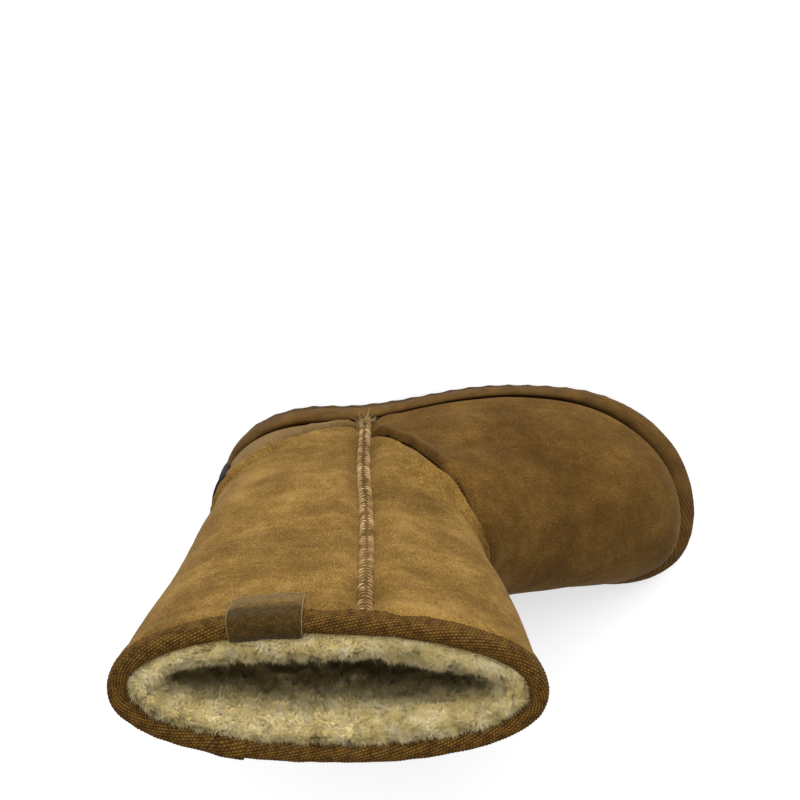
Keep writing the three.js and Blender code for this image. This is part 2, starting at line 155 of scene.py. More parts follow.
print("half grey is", round(linear("#808080")[0], 3), "in linear light")

# %% [markdown]
# ## Floor and light
#
# The floor is a pale studio sheet. One wide soft light stands low on the outer side of the boot,
# so the shaft's outer side is bright and the foot turns dark towards the inner side. A dim sky
# and a weak light overhead fill the rest. All are far wider than the boot, so shadows stay faint.
# The sheet glows a little, as a lit backdrop does, which keeps it white beyond the light's reach.

# %% Stage
SKY, SKY_STRENGTH = "#F4F4F6", 0.42
FLOOR_REACH = 9.0
FLOOR_GLOW = 0.22
KEY_PLACE, KEY_AIM, KEY_SIZE, KEY_POWER = (0.05, 1.55, 0.98), (0.06, 0.0, 0.1), 2.2, 46
TOP_PLACE, TOP_AIM, TOP_SIZE, TOP_POWER = (0.05, 0.0, 1.6), (0.05, 0.0, 0.0), 1.0, 8

scene.view_settings.view_transform = "Standard"
world = bpy.data.worlds.new("studio")
world.use_nodes = True
world.node_tree.nodes["Background"].inputs["Color"].default_value = linear(SKY)
world.node_tree.nodes["Background"].inputs["Strength"].default_value = SKY_STRENGTH
scene.world = world

floor_mesh = bpy.data.meshes.new("floor")
corners = [(x * FLOOR_REACH, y * FLOOR_REACH, 0) for x, y in ((-1, -1), (1, -1), (1, 1), (-1, 1))]
floor_mesh.from_pydata(corners, [], [(0, 1, 2, 3)])
floor = bpy.data.objects.new("floor", floor_mesh)
scene.collection.objects.link(floor)
paper, _, _ = new_material(
    "white_paper", Base_Color="#FAFAFA", Roughness=0.9, Emission_Color="#FFFFFF", Emission_Strength=FLOOR_GLOW
)
floor_mesh.materials.append(paper)


def add_light(name, place, aim, size, power):
    data = bpy.data.lights.new(name, "AREA")
    data.size = size
    data.energy = power
    light = bpy.data.objects.new(name, data)
    light.location = place
    light.rotation_mode = "QUATERNION"
    light.rotation_quaternion = (Vector(aim) - Vector(place)).to_track_quat("-Z", "Y")
    scene.collection.objects.link(light)


add_light("key", KEY_PLACE, KEY_AIM, KEY_SIZE, KEY_POWER)
add_light("top", TOP_PLACE, TOP_AIM, TOP_SIZE, TOP_POWER)
print("floor is", 2 * FLOOR_REACH, "m wide, lights are", KEY_SIZE, "and", TOP_SIZE, "m wide")

# %% [markdown]
# ## The boot's sizes
#
# The soft parts follow the same form as the construction, so its driving sizes and its short
# tables of sections stand here too, in millimetres. Each row of the section table is one level
# outline of the upper.

# %% Sizes and tables
SOLE_LENGTH = 266
BALL_WIDTH = 113
HEEL_BACK = -36.5
COLLAR = 245
SEAT = 20
INSTEP_HEIGHT = 92
CAP_POWER = 2.2

SOLE_COLUMNS = ["along", "under", "joint", "seat"]
SOLE_SIDE = np.array([
    [0.000, 0.0, 9.0, 21.0],
    [0.137, 0.0, 9.0, 21.0],
    [0.288, 0.0, 9.0, 20.0],
    [0.419, 2.0, 9.5, 18.5],
    [0.551, 0.0, 7.5, 16.5],
    [0.645, 0.0, 7.0, 15.5],
    [0.739, 0.0, 7.0, 15.5],
    [0.833, 1.5, 8.3, 16.5],
    [0.927, 4.5, 11.0, 19.0],
    [1.000, 8.5, 14.5, 22.0],
])
OUTLINE = [
    "height", "back", "front", "mid", "swing", "heelCapOut", "heelCapIn", "toeCapOut", "toeCapIn",
    "heelOut", "heelIn", "ballOut", "ballIn", "waistOut", "waistIn",
]
SOLE_OUTLINE = np.array(
    [0, 0.000, 1.000, 0.000, -0.140, 0.233, 0.188, 0.278, 0.218, 0.395, 0.345, 0.558, 0.440, -0.024, 0.053]
)
UPPER_SECTIONS = np.array([
    [20, 0.024, 0.945, 0.009, -0.133, 0.195, 0.165, 0.278, 0.211, 0.327, 0.301, 0.504, 0.363, -0.018, 0.040],
    [28, 0.009, 0.957, 0.009, -0.133, 0.203, 0.173, 0.286, 0.226, 0.345, 0.319, 0.522, 0.376, -0.018, 0.040],
    [38, 0.006, 0.953, 0.009, -0.133, 0.211, 0.180, 0.301, 0.248, 0.345, 0.319, 0.504, 0.374, -0.009, 0.038],
    [50, 0.006, 0.926, 0.009, -0.115, 0.211, 0.180, 0.316, 0.271, 0.345, 0.319, 0.469, 0.360, -0.009, 0.030],
    [61, 0.006, 0.876, 0.009, -0.097, 0.211, 0.180, 0.323, 0.286, 0.336, 0.319, 0.429, 0.338, 0.000, 0.022],
    [72, 0.006, 0.798, 0.000, -0.080, 0.211, 0.188, 0.293, 0.275, 0.336, 0.319, 0.394, 0.323, 0.000, 0.014],
    [84, 0.006, 0.700, 0.000, -0.053, 0.203, 0.195, 0.252, 0.244, 0.327, 0.323, 0.372, 0.318, 0.000, 0.006],
    [98, 0.002, 0.602, 0.000, -0.027, 0.211, 0.203, 0.218, 0.218, 0.327, 0.325, 0.345, 0.323, 0, 0],
    [114, -0.005, 0.532, -0.009, -0.009, 0.218, 0.218, 0.218, 0.218, 0.327, 0.327, 0.327, 0.327, 0, 0],
    [132, -0.012, 0.524, -0.018, 0.000, 0.241, 0.241, 0.241, 0.241, 0.319, 0.319, 0.319, 0.319, 0, 0],
    [160, -0.023, 0.543, -0.027, 0.000, 0.271, 0.271, 0.271, 0.271, 0.309, 0.309, 0.309, 0.309, 0, 0],
    [190, -0.037, 0.560, -0.035, 0.000, 0.297, 0.297, 0.305, 0.305, 0.297, 0.295, 0.297, 0.295, 0, 0],
    [220, -0.051, 0.570, -0.044, 0.000, 0.308, 0.308, 0.320, 0.320, 0.284, 0.275, 0.284, 0.275, 0, 0],
    [245, -0.060, 0.576, -0.053, 0.000, 0.320, 0.320, 0.327, 0.327, 0.270, 0.261, 0.270, 0.261, 0, 0],
])
print(f"sole {SOLE_LENGTH} x {BALL_WIDTH} mm, {len(UPPER_SECTIONS)} sections up to {COLLAR} mm")

# %% [markdown]
# ## Curves and outlines
#
# A smooth curve runs through each column of a table, so the form can be asked for at any height.
# An outline is worked out from its row: straight sides between a round heel and a round toe. Its
# points start at the back, pass the outer side to the toe and come home along the inner side.

# %% Shape functions
FINE_STEPS = 600


def curve(keys, values, at):
    """A smooth curve through a table's values that never overshoots them."""
    at = np.clip(np.asarray(at, float), keys[0], keys[-1])
    steps = np.diff(keys)
    slopes = np.diff(values) / steps
    turning = slopes[:-1] * slopes[1:] <= 0
    between = (slopes[:-1] * steps[1:] + slopes[1:] * steps[:-1]) / (steps[:-1] + steps[1:])
    tangent = np.concatenate([slopes[:1], np.where(turning, 0, between), slopes[-1:]])
    i = np.clip(np.searchsorted(keys, at, side="right") - 1, 0, len(keys) - 2)
    t = (at - keys[i]) / steps[i]
    return (
        (2 * t**3 - 3 * t**2 + 1) * values[i] + (t**3 - 2 * t**2 + t) * steps[i] * tangent[i]
        + (3 * t**2 - 2 * t**3) * values[i + 1] + (t**3 - t**2) * steps[i] * tangent[i + 1]
    )


def smooth(t):
    t = np.clip(t, 0, 1)
    return t * t * (3 - 2 * t)


def unit(vectors):
    return vectors / (np.linalg.norm(vectors, axis=-1, keepdims=True) + 1e-12)


def length_along(points):
    """The length of a line from its start to each of its points."""
    return np.concatenate([[0], np.cumsum(np.linalg.norm(np.diff(points, axis=0), axis=1))])


def read_line(points, reach, places):
    """Where a line of points is at some lengths along it."""
    return np.column_stack([np.interp(places, reach, points[:, k]) for k in range(points.shape[1])])


def even_steps(points, count):
    reach = length_along(points)
    return read_line(points, reach, np.linspace(0, reach[-1], count))


def rounded_path(points, count):
    """A smooth path through a few points, at even steps."""
    reach = length_along(points)
    fine = np.linspace(0, reach[-1], FINE_STEPS)
    return even_steps(np.column_stack([curve(reach, column, fine) for column in points.T]), count)


def sole_height(column, x):
    k = SOLE_COLUMNS.index(column)
    return curve(SOLE_SIDE[:, 0], SOLE_SIDE[:, k], (x - HEEL_BACK) / SOLE_LENGTH)


def round_end(distance, reach):
    """How full an outline is, from 0 to 1, by the distance from the tip of its round end."""
    return (1 - np.clip(1 - distance / reach, 0, 1) ** CAP_POWER) ** (1 / CAP_POWER)


def outline(values, count):
    row = dict(zip(OUTLINE, values))
    back = HEEL_BACK + SOLE_LENGTH * row["back"]
    front = HEEL_BACK + SOLE_LENGTH * row["front"]
    along = (1 - np.cos(np.linspace(0, np.pi, 401))) / 2
    x = back + (front - back) * along
    middle = BALL_WIDTH * (row["mid"] + row["swing"] * along**3)
    halves = []
    for side, sign in (("Out", 1), ("In", -1)):
        heel_cap, toe_cap = row["heelCap" + side] * SOLE_LENGTH, row["toeCap" + side] * SOLE_LENGTH
        t = np.clip((x - back - heel_cap) / (front - toe_cap - back - heel_cap), 0, 1)
        heel, ball, waist = row["heel" + side], row["ball" + side], row["waist" + side]
        straight = heel + (ball - heel) * smooth(t) - waist * np.sin(np.pi * t) ** 2
        full = round_end(x - back, heel_cap) * round_end(front - x, toe_cap)
        y = middle + sign * BALL_WIDTH * straight * full
        points = even_steps(np.column_stack([x, y]), count // 2 + 1)
        halves.append(points[:-1] if sign > 0 else points[::-1][:-1])
    return np.concatenate(halves)


def section_at(height, drawn_in=0.0):
    """The table's row at a height, for an outline drawn in by some mm from the upper's outside."""
    row = {name: curve(UPPER_SECTIONS[:, 0], UPPER_SECTIONS[:, k], height) for k, name in enumerate(OUTLINE)}
    for name in ("heelCapOut", "heelCapIn", "toeCapOut", "toeCapIn", "front"):
        row[name] -= drawn_in / SOLE_LENGTH
    row["back"] += drawn_in / SOLE_LENGTH
    for name in ("heelOut", "heelIn", "ballOut", "ballIn"):
        row[name] -= drawn_in / BALL_WIDTH
    return list(row.values())


def upper_ring(height, count, drawn_in=0.0):
    """A ring of the upper. Low rings follow the rise and fall of the wrap's top."""
    flat = outline(section_at(height, drawn_in), count)
    follow = 1 - smooth((height - SEAT) / (INSTEP_HEIGHT - SEAT))
    return np.column_stack([flat, height + follow * (sole_height("seat", flat[:, 0]) - SEAT)])


print("round the sole:", round(length_along(outline(SOLE_OUTLINE, 400))[-1]), "mm")

# %% [markdown]
# ## A map of the upper
#
# Panels, seams and creases all lie on the same surface, so it gets a map. A place is given by
# q, which runs once round the boot from 0 to 4, and by a height. q is 0 at the back, 1 on the
# outer side seam, 2 at the front and 3 on the inner side seam. The map is a fine grid worked out
# once, and a place between its points is read off with a smooth cubic, so that even a fine patch
# lies on a smooth surface.

# %% Map of the upper's outside
QUARTER = 150
RING_POINTS = 900
MAP_HEIGHTS = np.arange(SEAT, COLLAR + 0.5, 1.0)
SEAM_HEIGHTS = np.array([20.0, 100.0, 140.0, 245.0])
SEAM_X = np.array([42.5, 43.0, 45.0, 46.0])


def cut_ring(ring, height):
    """The ring's points at even steps between back, side seams and front."""
    half = len(ring) // 2
    ring = np.concatenate([ring, ring[:1]])
    reach = length_along(ring)
    x = curve(SEAM_HEIGHTS, SEAM_X, height)
    outer = np.interp(x, ring[:half, 0], reach[:half])
    inner = np.interp(-x, -ring[half:, 0], reach[half:])
    marks = [0, outer, reach[half], inner, reach[-1]]
    places = np.concatenate([np.linspace(a, b, QUARTER, endpoint=False) for a, b in zip(marks, marks[1:])])
    return read_line(ring, reach, places)


surface = np.stack([cut_ring(upper_ring(h, RING_POINTS), h) for h in MAP_HEIGHTS])
around = np.roll(surface, -1, axis=1) - np.roll(surface, 1, axis=1)
normals = unit(np.cross(np.gradient(surface, axis=0), around))
quarter_lengths = np.linalg.norm(around, axis=2).reshape(len(MAP_HEIGHTS), 4, QUARTER).sum(axis=2) / 2


def cubic_weights(t):
    return [
        (-t + 2 * t**2 - t**3) / 2, (2 - 5 * t**2 + 3 * t**3) / 2,
        (t + 4 * t**2 - 3 * t**3) / 2, (-(t**2) + t**3) / 2,
    ]


def read_map(grid, q, height):
    column = np.asarray(q, float) * QUARTER
    row = np.clip(np.asarray(height, float) - SEAT, 0, len(MAP_HEIGHTS) - 1.0)
    i, k = np.floor(column).astype(int), np.minimum(np.floor(row).astype(int), len(MAP_HEIGHTS) - 2)
    across, along = cubic_weights(column - i), cubic_weights(row - k)
    total = 0
    for b in range(4):
        near_row = np.clip(k + b - 1, 0, len(MAP_HEIGHTS) - 1)
        for a in range(4):
            total = total + (across[a] * along[b])[..., None] * grid[near_row, (i + a - 1) % (4 * QUARTER)]
    return total


def on_upper(q, height, out=0.0):
    """Points on the upper, moved out along the surface's normal. Above the collar they go straight up."""
    q, height = np.broadcast_arrays(np.asarray(q, float), np.asarray(height, float))
    away = unit(read_map(normals, q, height))
    points = read_map(surface, q, height) + away * np.asarray(out, float)[..., None]
    points[..., 2] += np.maximum(height - COLLAR, 0) + np.minimum(height - SEAT, 0)
    return points, away


print("round the collar:", round(quarter_lengths[-1].sum()), "mm")

# %% [markdown]
# ## Panels
#
# The upper is cut from four pieces of sheepskin with the suede side out: a vamp over the foot, a
# counter round the heel, and a front and a back half of the shaft. Two low seams run over the
# instep and round the heel, and two upright seams run up the sides. First come the lines of the
# low seams, as a few points seen from the side.

# %% Seam lines
VAMP_SEAM = np.array(
    [[44, 38], [51, 51], [62, 60], [70, 70], [78, 86], [87, 99], [95, 111], [104, 118]], float
)
COUNTER_SEAM = np.array(
    [[42.5, 28.5], [30, 29.5], [11.8, 33], [2.5, 44], [-6.7, 53], [-15.7, 60], [-25, 65], [-37, 70]], float
)
SEAM_STEPS, SEAM_ROUNDING = 80, 17


def side_place(x, height, outer=True):
    """The q of a place seen from the side, by its x."""
    q = np.linspace(0, 2, 401)
    points, _ = on_upper(q, float(height))
    found = np.interp(x, points[:, 0], q)
    return found if outer else 4 - found


def seam_as_heights(seam, q_start, q_end):
    """The seam as heights at even steps of q, with its corners rounded off."""
    heights = np.linspace(seam[0, 1], seam[-1, 1], SEAM_STEPS)
    xs = np.interp(heights, seam[:, 1], seam[:, 0])
    q = np.array([side_place(x, h) for x, h in zip(xs, heights)])
    q[0], q[-1] = q_start, q_end
    order = np.argsort(q)
    even = np.linspace(q[order][0], q[order][-1], SEAM_STEPS)
    heights = np.pad(np.interp(even, q[order], heights[order]), SEAM_ROUNDING // 2, mode="edge")
    round_off = np.hanning(SEAM_ROUNDING) / np.hanning(SEAM_ROUNDING).sum()
    return even, np.convolve(heights, round_off, "valid")


vamp_q, vamp_h = seam_as_heights(VAMP_SEAM, 1, 2)
counter_q, counter_h = seam_as_heights(COUNTER_SEAM, 1, 0)


def vamp_top(q):
    return np.interp(2 - np.abs(q - 2), vamp_q, vamp_h)


def counter_top(q):
    return np.interp(np.abs(q), counter_q, counter_h)


def seam_line(q, top):
    """Points along a low seam and the directions out of the surface there."""
    return on_upper(q, top(q))


def nearest(points, line):
    """Distance from each point to a line of close points, and the place along that line."""
    tree = KDTree(len(line))
    for i, point in enumerate(line):
        tree.insert(point, i)
    tree.balance()
    found = [tree.find(point) for point in points.reshape(-1, 3)]
    distance = np.array([f[2] for f in found]).reshape(points.shape[:-1])
    place = np.array([f[1] for f in found]).reshape(points.shape[:-1])
    return distance, place


vamp_line = seam_line(np.linspace(1, 3, 700), vamp_top)
counter_line = seam_line(np.linspace(-1, 1, 500), counter_top)
for name, line in (("vamp", vamp_line), ("counter", counter_line)):
    print(name, "seam:", round(length_along(line[0])[-1]), "mm")

# %% [markdown]
# ## Soft relief
#
# Sheepskin is never even. A smooth random field, made from a small block of random numbers that
# is read off with soft steps, gives the low swells of the hide. Each crease is given one by one: a
# short line with a depth and a width, pressed in as a soft trough with a low ridge on both sides.

# %% Noise and creases
NOISE_BLOCK = 24


def soft_noise(points, size, seed):
    """Smooth random values from -1 to 1 with lumps of about a size."""
    block = np.random.default_rng(seed).uniform(-1, 1, (NOISE_BLOCK,) * 3)
    p = points / size + 100
    cell = np.floor(p).astype(int)
    t = smooth(p - cell)
    total = 0
    for corner in np.ndindex(2, 2, 2):
        share = np.prod(np.where(corner, t, 1 - t), axis=-1)
        i, j, k = np.moveaxis((cell + corner) % NOISE_BLOCK, -1, 0)
        total = total + share * block[i, j, k]
    return total


# Each crease: side (1 outer, -1 inner), its points as (x, height), depth and width in mm.
CREASES = [
    (1, [(56, 88), (66, 92), (76, 101), (84, 113)], 1.3, 2.6),
    (1, [(58, 102), (68, 107), (79, 117), (88, 128)], 1.0, 3.0),
    (1, [(60, 118), (72, 126), (84, 139)], 0.8, 3.4),
    (1, [(8, 104), (20, 100), (34, 99)], 0.7, 3.0),
    (1, [(-2, 128), (14, 122), (32, 121)], 0.6, 3.6),
    (1, [(60, 176), (76, 170), (92, 172)], 0.5, 4.0),
    (1, [(-30, 168), (-12, 160), (6, 161)], 0.5, 4.0),
    (1, [(96, 62), (112, 58), (128, 52)], 0.7, 4.0),
    (1, [(88, 74), (100, 72), (112, 66)], 0.8, 3.2),
    (1, [(104, 40), (110, 50), (117, 58)], 0.8, 3.6),
    (1, [(122, 38), (127, 46), (132, 52)], 0.6, 4.2),
    (-1, [(58, 86), (68, 92), (78, 103), (86, 114)], 1.3, 2.6),
    (-1, [(108, 44), (113, 54), (119, 59)], 0.8, 3.6),
    (-1, [(56, 104), (68, 110), (80, 121)], 1.0, 3.2),
    (-1, [(6, 106), (20, 101), (36, 100)], 0.8, 3.0),
    (-1, [(0, 140), (18, 134), (36, 134)], 0.6, 3.6),
    (-1, [(92, 70), (104, 66), (118, 60)], 0.8, 3.4),
    (-1, [(62, 160), (78, 155), (92, 158)], 0.5, 4.0),
]
RIDGE_SHARE, RIDGE_PLACE, CREASE_STEPS = 0.45, 1.9, 60


def crease_relief(points):
    relief = np.zeros(points.shape[:-1])
    for side, places, depth, width in CREASES:
        xs, hs = np.array(places, float).T
        t, ends = np.linspace(0, 1, CREASE_STEPS), np.linspace(0, 1, len(xs))
        x, h = np.interp(t, ends, xs), np.interp(t, ends, hs)
        line = np.array([on_upper(side_place(a, b, side > 0), b)[0] for a, b in zip(x, h)])
        low, high = line.min(0) - 4 * width, line.max(0) + 4 * width
        near = np.all((points > low) & (points < high), axis=-1)
        if near.any():
            distance, place = nearest(points[near], line)
            fade = np.sin(np.pi * (place + 0.5) / CREASE_STEPS) ** 0.7
            d = distance / width
            relief[near] += depth * fade * (RIDGE_SHARE * np.exp(-((d - RIDGE_PLACE) ** 2)) - np.exp(-(d**2)))
    return relief


def side_distance(q, height):
    """Distance in mm to the nearer side seam."""
    quarter = np.floor(np.mod(q, 4)).astype(int)
    rows = np.clip(np.round(height - SEAT).astype(int), 0, len(MAP_HEIGHTS) - 1)
    return np.abs(np.mod(q, 2) - 1) * quarter_lengths[rows, quarter]


def swell(points):
    """The hide's own unevenness, in waves of about 42, 17 and 6 mm."""
    waves = 0.55 * soft_noise(points, 42, 1) + 0.3 * soft_noise(points, 17, 2)
    return waves + 0.08 * soft_noise(points, 6, 3)


print(len(CREASES), "creases, the deepest", max(crease[2] for crease in CREASES), "mm")

# %% [markdown]
# ## Making meshes
#
# A panel is a grid of points, so one function turns any grid into a closed sheet with a back
# and edges. Every piece gets its material and its place on the body in one call. That
# call also measures the volume: if it is negative, the faces look inwards and are turned. Some
# materials read numbers that are kept on the mesh's points, so a last function stores them.

# %% Mesh helpers
WELD = 0.002  # mm, closer points than this become one


def grid_faces(rows, columns, start=0, close_columns=False, flip=False):
    k, j = np.ogrid[:rows - 1, :columns if close_columns else columns - 1]
    a = start + k * columns + j
    b = start + k * columns + (j + 1) % columns
    quads = np.stack([a, b, b + columns, a + columns], axis=-1).reshape(-1, 4)
    return quads[:, ::-1] if flip else quads


def make_piece(name, points, faces, material, slot, replaces=(), weld=False):
    mesh = bpy.data.meshes.new(name)
    places = np.asarray(points).reshape(-1, 3) * MM
    mesh.from_pydata(places.tolist(), [], [list(map(int, f)) for f in faces])
    form = bmesh.new()
    form.from_mesh(mesh)
    if weld:
        bmesh.ops.remove_doubles(form, verts=form.verts, dist=WELD * MM)
        bmesh.ops.recalc_face_normals(form, faces=form.faces)
    if form.calc_volume(signed=True) < 0:
        bmesh.ops.reverse_faces(form, faces=form.faces)
    volume = form.calc_volume() * 1e6
    form.to_mesh(mesh)
    form.free()
    mesh.polygons.foreach_set("use_smooth", [True] * len(mesh.polygons))
    mesh.materials.append(material)
    piece = bpy.data.objects.new(name, mesh)
    scene.collection.objects.link(piece)
    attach(piece, "root")
    if replaces:
        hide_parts(*replaces)
    print(f"{name}: {sum(len(f) - 2 for f in faces)} triangles, {volume:.1f} cm3")
    return piece


def closed_sheet(outside, inside, skip=1):
    """Points and faces of a closed sheet. Its inside, which never shows, keeps every skip-th row."""
    rows, columns = outside.shape[:2]
    kept = np.unique(np.append(np.arange(0, rows, skip), rows - 1))
    count, j = rows * columns, np.arange(columns - 1)
    low, high, high_in = j, (rows - 1) * columns + j, count + (len(kept) - 1) * columns + j
    faces = [
        *grid_faces(rows, columns), *grid_faces(len(kept), columns, count, flip=True),
        *np.stack([low + 1, low, count + low, count + low + 1], axis=-1),
        *np.stack([high, high + 1, high_in + 1, high_in], axis=-1),
    ]
    for k, (a, b) in enumerate(zip(kept, kept[1:])):
        first, last = count + k * columns, count + k * columns + columns - 1
        side = np.arange(a, b + 1) * columns
        faces.append([*side, first + columns, first])
        faces.append([*(side[::-1] + columns - 1), last, last + columns])
    return np.concatenate([outside.reshape(-1, 3), inside[kept].reshape(-1, 3)]), faces


def closed_band(outside, inside):
    """A band that runs all the way round: two grids, closed along both edges."""
    rows, columns = outside.shape[:2]
    rows_in = inside.shape[0]
    count, j = rows * columns, np.arange(columns)
    after = (j + 1) % columns
    top, top_in = (rows - 1) * columns, count + (rows_in - 1) * columns
    faces = np.concatenate([
        grid_faces(rows, columns, close_columns=True), grid_faces(rows_in, columns, count, True, True),
        np.stack([after, j, j + count, after + count], axis=-1),
        np.stack([top + j, top + after, top_in + after, top_in + j], axis=-1),
    ])
    return np.concatenate([outside.reshape(-1, 3), inside.reshape(-1, 3)]), faces


def closed_tube(rings):
    """Points and faces of a tube of rings with both ends closed."""
    rows, columns = rings.shape[:2]
    ends = [np.arange(columns)[::-1], (rows - 1) * columns + np.arange(columns)]
    return rings.reshape(-1, 3), [*grid_faces(rows, columns, close_columns=True), *ends]


def keep_on_points(piece, name, *columns):
    """Store up to three numbers for each of the mesh's first points. The other points keep 0."""
    values = np.zeros((len(piece.data.vertices), 3), np.float32)
    for k, column in enumerate(columns):
        values[:np.size(column), k] = np.ravel(column)
    piece.data.attributes.new(name, "FLOAT_VECTOR", "POINT").data.foreach_set("vector", values.ravel())


print("points closer than", WELD, "mm are welded where a mesh asks for it")

# %% [markdown]
# ## Suede
#
# Suede is the flesh side of the skin, buffed to a short nap. Fibres that lie one way look light
# and the others dark, so it is mottled in blotches of a few centimetres, with finer marks from
# wear in them. It has no gloss, but the fibre tips catch the light at a flat angle: that is
# sheen. The nap is about 0.3 mm, too fine to show here, so it is drawn at about 0.7 mm.

# %% Suede material
SUEDE_MOTTLE = [(28, 0.36, 4), (5, 0.1, 4), (4, 0.1, 4, (1 / 5, 1 / 5, 1)), (0.7, 0.44, 2)]
SUEDE_NAP = [(5, 1.1, 3), (0.7, 0.5, 2)]


def make_suede(name, dark, middle, light):
    return make_mottled(
        name, SUEDE_MOTTLE, [(0.38, dark), (0.5, middle), (0.62, light)], SUEDE_NAP, 0.5, 0.5,
        Roughness=0.95, Sheen_Weight=0.12, Sheen_Roughness=0.4, Sheen_Tint="#D8B070", Specular_IOR_Level=0.1,
    )


suede = make_suede("chestnut_suede", "#4A3410", "#6C5123", "#92733C")
# Painted shade: the vamp gets a darker copy of the shaft's suede, so the foot reads darker than the shaft.
shaded_vamp_suede = make_suede("shaded_vamp_suede", "#3F2A0C", "#553C17", "#715427")
counter_suede = make_suede("counter_suede", "#4F3C20", "#6A5331", "#826B46")
print("suedes:", suede.name, shaded_vamp_suede.name, counter_suede.name)

# %% [markdown]
# ## How a panel ends at a seam
#
# Near a seam a panel's edge rolls in, so that the seam lies in a groove. Over the instep and
# round the heel the shaft is fuller than the piece below and rolls over it, which is what throws
# the dark line there. Near the side seams it is the other way round: the lower piece ends in a
# lip and the shaft dips. Each profile is a sum of dips, curls and bumps over the distance from
# the seam, in mm.

# %% Seam profiles
SIDE_SHARE = 0.14  # the lip and the dip swap places over this share of a low seam


def dip(distance, depth, width):
    """A soft fall towards the seam."""
    return -depth * (1 - smooth(distance / width))


def curl(distance, depth, radius):
    """A round edge that curls down by a depth over a radius."""
    return -depth * (1 - np.sqrt(np.clip(1 - (1 - np.clip(distance / radius, 0, 1)) ** 2, 0, 1)))


def bump(distance, rise, place, width):
    """A low ridge at a place, or a trough if its rise is negative."""
    return rise * np.exp(-(((distance - place) / width) ** 2))


def side_groove(distance):
    return dip(distance - 1.5, depth=3.2, width=8.0) + bump(distance, rise=0.8, place=14, width=5.0)


def near_side_seam(place, line):
    """1 at the ends of a seam line, which are the side seams, and 0 over its middle."""
    share = np.minimum(place, len(line) - 1 - place) / len(line)
    return 1 - smooth((share - SIDE_SHARE) / SIDE_SHARE)


def under_fold(distance, ends):
    """The lower piece dips towards the seam, but ends in a lip beside the side seams."""
    fall = dip(distance, depth=5.0, width=6.5) + bump(distance, rise=1.0, place=10, width=4)
    lip = curl(distance, depth=4.2, radius=2.0) + bump(distance, rise=1.5, place=2.6, width=2.0)
    return fall + (lip - fall) * ends


def over_roll(distance, ends):
    """The upper piece ends in a fat roll with a soft trough behind it, but dips beside the side seams."""
    roll = curl(distance, depth=4.4, radius=2.6) + bump(distance, rise=2.1, place=3.0, width=2.0)
    roll = roll + bump(distance, rise=-1.7, place=7.2, width=1.5)
    fall = dip(distance, depth=4.6, width=6.0) + bump(distance, rise=0.9, place=8.5, width=3.5)
    return roll + (fall - roll) * ends


def pucker(distance, place, line):
    """Small wrinkles that run out from the stitches and die away."""
    along = place * length_along(line)[-1] / len(line)
    wrinkles = soft_noise(np.stack([along, distance / 6, 0 * along], axis=-1), 2.4, 81)  # stretched outwards
    return 0.55 * wrinkles * np.exp(-((distance / 8) ** 2)) * smooth(distance / 2)


def collar_bulge(height):
    """The tape grips the shaft, so the suede bulges a little under the tape's edge."""
    return bump(height, rise=1.1, place=234, width=4.5) - 0.7 * smooth((height - 238) / 4)


roll = over_roll(np.linspace(0, 15, 200), 0)
print("the shaft's roll stands", round(roll.max(), 1), "mm proud")

# %% [markdown]
# ## The four panels
#
# Each panel is a grid on the map between two side seams and between two heights. Its rows crowd
# together towards the low seam, where the form bends most. Swells, creases and seam profiles are
# added up, and the grid is moved out by their sum.

# %% Panels
HIDE = 1.6
CROWDING = 1.5
TUCK = 243
BELOW_WRAP = SEAT - 2


def make_panel(name, q_low, q_high, low, high, columns, rows, reliefs, material, crowd_low=True, **keys):
    q = np.linspace(q_low, q_high, columns)
    t = np.linspace(0, 1, rows)[:, None] ** CROWDING
    t = t if crowd_low else 1 - t[::-1]
    bottom, top = low(q), high(q)
    heights = bottom + (top - bottom) * t
    q = np.broadcast_to(q, heights.shape)
    points, away = on_upper(q, heights)
    to_side = side_distance(q, heights)
    out = swell(points) + side_groove(to_side) + collar_bulge(heights)
    out = out + crease_relief(points) * smooth(to_side / 9)
    for line, profile in reliefs:
        distance, place = nearest(points, line)
        out = out + profile(distance, near_side_seam(place, line)) + pucker(distance, place, line)
    outside = points + away * out[..., None]
    inside = points + away * (np.minimum(out, 0) - HIDE)[..., None]
    return make_piece(name, *closed_sheet(outside, inside, 9), material, "suede", **keys)


def level(height):
    return lambda q: np.full(np.shape(q), float(height))


make_panel("vamp", 1, 3, level(BELOW_WRAP), vamp_top, 260, 100,
           [(vamp_line[0], under_fold)], shaded_vamp_suede, crowd_low=False, replaces=["upper"])
make_panel("heel_counter", -1, 1, level(BELOW_WRAP), counter_top, 130, 36,
           [(counter_line[0], under_fold)], counter_suede, crowd_low=False)
make_panel("shaft_front", 1, 3, vamp_top, level(TUCK), 134, 150, [(vamp_line[0], over_roll)], suede)
make_panel("shaft_back", -1, 1, counter_top, level(TUCK), 134, 150, [(counter_line[0], over_roll)], suede)

# %% [markdown]
# ## Side seams
#
# Up each side the front and back halves are butted together and overcast with thick thread,
# which pulls the two edges up into a ridge. The ridge is one strip with a half round section.
# It is drawn in a little at every stitch.

# %% Seam ridges
STITCH_PITCH = 2.6
SEAM_HALF = 3.2
SEAM_LOW, SEAM_HIGH = -3.4, -0.3
ROUNDNESS = 0.4


def seam_place(q_seam, height, across, out):
    """Points beside a side seam and directions out of the surface: across is in mm towards higher q."""
    behind, ahead = (np.interp(height, MAP_HEIGHTS, quarter_lengths[:, (q_seam + k) % 4]) for k in (-1, 0))
    return on_upper(q_seam + across / np.where(across < 0, behind, ahead), height, out)


def on_ridge(q_seam, height, across, lift=0.0, pull=1.0):
    """The same on the ridge: across runs over it from -1 to 1, and lift is in mm above it."""
    middle, _ = on_upper(q_seam + 0 * height, height)
    dome = np.clip(1 - across**2, 0, 1) ** ROUNDNESS
    out = SEAM_LOW + (SEAM_HIGH - SEAM_LOW) * dome * pull + lift + swell(middle)
    return seam_place(q_seam, height, across * SEAM_HALF, out)
